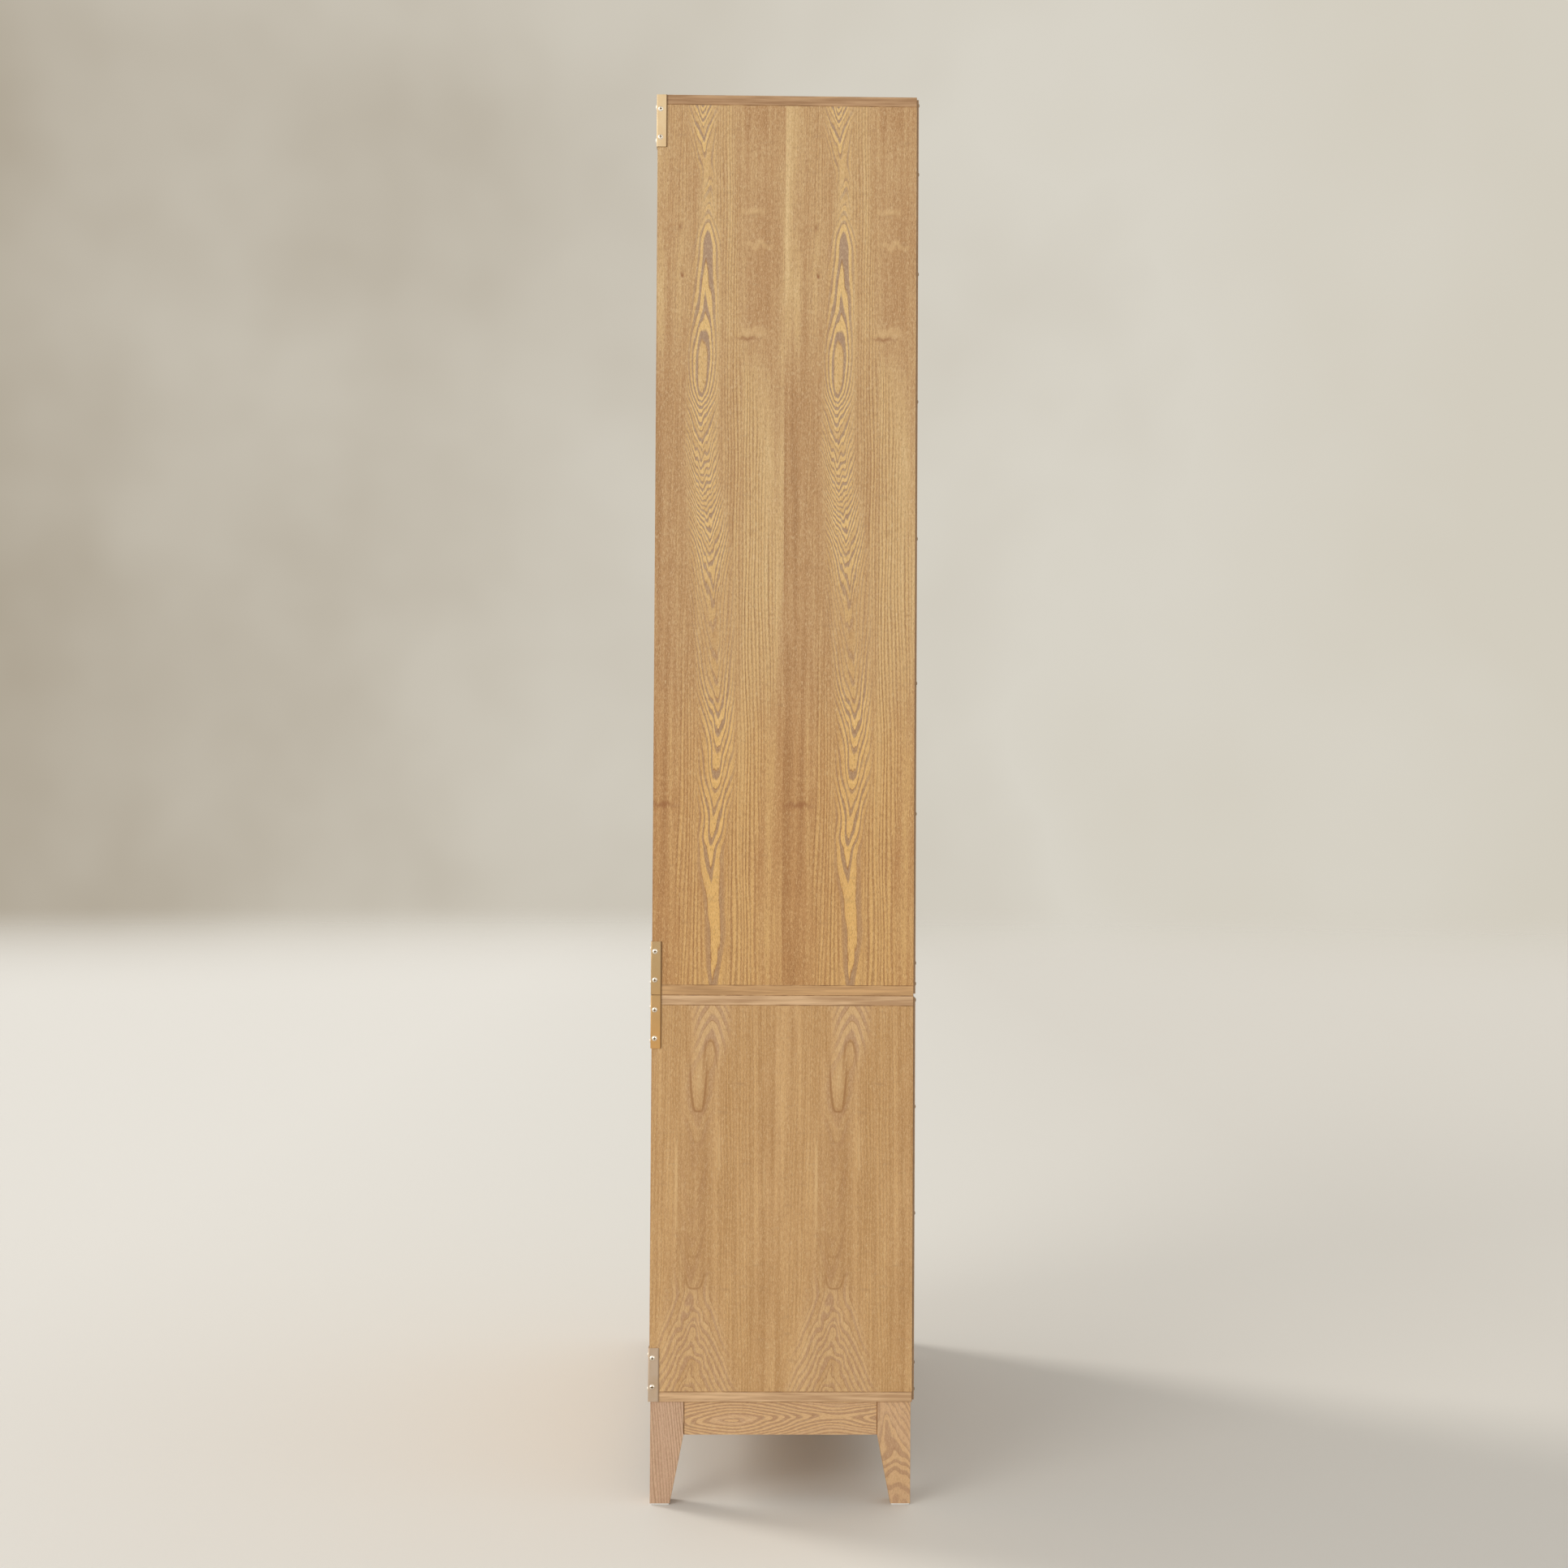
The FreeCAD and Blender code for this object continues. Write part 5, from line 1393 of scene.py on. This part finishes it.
def pin_profile():
    """A straight pin whose ends are quarter circles, as radius and height."""
    radius, length = PIN_MM[0] / 2, PIN_MM[1]
    turn = np.linspace(0, np.pi / 2, PIN_ROWS)
    low = np.column_stack([np.sin(turn) - 1, 1 - np.cos(turn)]) * PIN_ROUND_MM + [radius, 0]
    high = [0, length] + low[::-1] * [1, -1]
    return np.concatenate([[(0, 0)], low, high, [(0, length)]])


for carcass, shelf_names in SHELVES.items():
    pin_end = reach(f"{carcass}_shelf_pins", "x")[1] - PIN_MM[1]
    places = []
    for name in shelf_names:
        low, high = corners(name)
        height = low[2] - PIN_CLEARANCE_MM - PIN_MM[0] / 2
        depths = (low[1] + PIN_INSET_MM, high[1] - PIN_INSET_MM)
        places += [("+x", (pin_end, y, height)) for y in depths]
        places += [("-x", (-pin_end, y, height)) for y in depths]
    made, replaced = f"{carcass}_round_shelf_pins", [f"{carcass}_shelf_pins"]
    turned_piece(made, pin_profile(), PIN_SIDES, places, [bright_brass], "cabinet", replaced)

# %% [markdown]
# ## Screws in the backs
# Small pan head screws hold the thin backs along both sides. They are spaced by eye, so the gaps
# differ, and the first and last stand a little way in from the ends of each carcass. A screw's head
# is a quarter of an ellipse turned round. Plain steel dulls to a brownish grey, in specks that are
# drawn coarse enough to show.

# %% Back screws
BACK_SCREW_MM = (6.0, 1.5)
BACK_SCREW_SHANK_MM = (3.0, 15.0)
BACK_SCREW_ROWS = 6
BACK_SCREW_SIDES = 20
BACK_SCREW_INSET_MM = 5.0
# The first and the last screw, in thicknesses of a board from the ends, and those between them, in
# shares of the height from the top.
BACK_SCREW_BOARDS = {"upper": (0.68, 1.2), "lower": (0.45, 1.2)}
BACK_SCREW_SHARES = {
    "upper": (0.085, 0.197, 0.34, 0.493, 0.654, 0.799, 0.964),
    "lower": (0.275, 0.538, 0.905),
}
DULL_MM = 2.5
DULL_STOPS = [(0.3, "#7A6A58"), (0.7, "#94846F")]
DULL_METAL = {"Metallic": 1.0, "Roughness": 0.45}

dulled, add = blank_material("dull_steel_screw")
brownish = add("ValToRGB", [patches(add, DULL_MM)], stops=DULL_STOPS)
close_with(add, {"Base Color": brownish, **DULL_METAL})


def pan_head_profile():
    """A straight shank, a flat underside and a quarter-ellipse head, as radius and height."""
    shank, length = BACK_SCREW_SHANK_MM[0] / 2, BACK_SCREW_SHANK_MM[1]
    turn = np.linspace(0, np.pi / 2, BACK_SCREW_ROWS)
    head = np.column_stack([np.cos(turn) / 2, np.sin(turn)]) * BACK_SCREW_MM
    return np.concatenate([[(0, -length), (shank, SCREW_TIP_MM - length), (shank, 0)], head])


places = []
for carcass, shares in BACK_SCREW_SHARES.items():
    low, high = corners(f"{carcass}_back_panel")
    foot, top = reach(f"{carcass}_bottom_board", "z")[0], reach(f"{carcass}_top_board", "z")[1]
    board = reach(f"{carcass}_right_side", "z")[0] - foot
    first, last = BACK_SCREW_BOARDS[carcass]
    between = top - np.array(shares) * (top - foot)
    levels = [top - first * board, *between, foot + last * board]
    sides = (low[0] + BACK_SCREW_INSET_MM, high[0] - BACK_SCREW_INSET_MM)
    places += [("+y", (x, high[1], z)) for x in sides for z in levels]
turned_piece(
    "pan_head_back_screws",
    pan_head_profile(),
    BACK_SCREW_SIDES,
    places,
    [dulled],
    "cabinet",
    ["back_screws"],
)

# %% [markdown]
# ## Glass
# The panes are 4 mm float glass, with the faint green that iron gives it, and a film of smears that
# dulls it here and there. Light passes a pane in a shadow too, so a shadow ray meets a plain
# transparent shader.

# %% Glass
SMEAR_MM = 167.0
SMEAR_DETAIL = 3.0
SMEAR_ROUGHNESS = (0.4, 0.8, 0.0, 0.03)
GLASS = {"Base Color": linear("#F4FAF6"), "Transmission Weight": 1.0, "IOR": 1.52}
GLASS_SHADE = "#F2F8F4"

glass, add = blank_material("float_glass")
film = add("MapRange", [patches(add, SMEAR_MM, SMEAR_DETAIL), *SMEAR_ROUGHNESS])
pane = add("BsdfPrincipled", {"Roughness": film, **GLASS})
clear = add("BsdfTransparent", {"Color": linear(GLASS_SHADE)})
shadow = add("LightPath").node.outputs["Is Shadow Ray"]
add("OutputMaterial", [add("MixShader", [shadow, pane, clear])])
dress(glass, "left_glass_door_glass", "right_glass_door_glass")

# %% [markdown]
# ## Plastics
# The glides under the legs are white nylon, and the door catches are moulded in brown plastic. Both
# have the fine grain of their mould, drawn about a millimetre wide, to show.

# %% Catches and glides
MOULD_MM = 1.1
MOULD_STOPS = (0.3, 0.7)
MOULD_RELIEF = {"Strength": 0.2, "Distance": 0.2 * MM}
PLASTIC_IOR = 1.47
GLIDE_EDGE_MM = 0.15
CATCH_EDGE_MM = 0.8


def plastic(name, dark, pale, roughness):
    """A moulded plastic: two close tones in a fine grain, with that grain's relief."""
    material, add = blank_material(name)
    grain = patches(add, MOULD_MM)
    tone = add("ValToRGB", [grain], stops=list(zip(MOULD_STOPS, (dark, pale))))
    relief = add("Bump", {"Height": grain, **MOULD_RELIEF})
    moulded = {"Base Color": tone, "Roughness": roughness, "Normal": relief, "IOR": PLASTIC_IOR}
    close_with(add, moulded)
    return material


catches = ending("_door_catches")
dress(plastic("white_nylon_glide", "#F7F6F2", "#FFFFFD", 0.4), "floor_glides")
dress(plastic("brown_catch_plastic", "#5C4632", "#6B533C", 0.45), *catches)
soften(GLIDE_EDGE_MM, "floor_glides")
soften(CATCH_EDGE_MM, *catches)
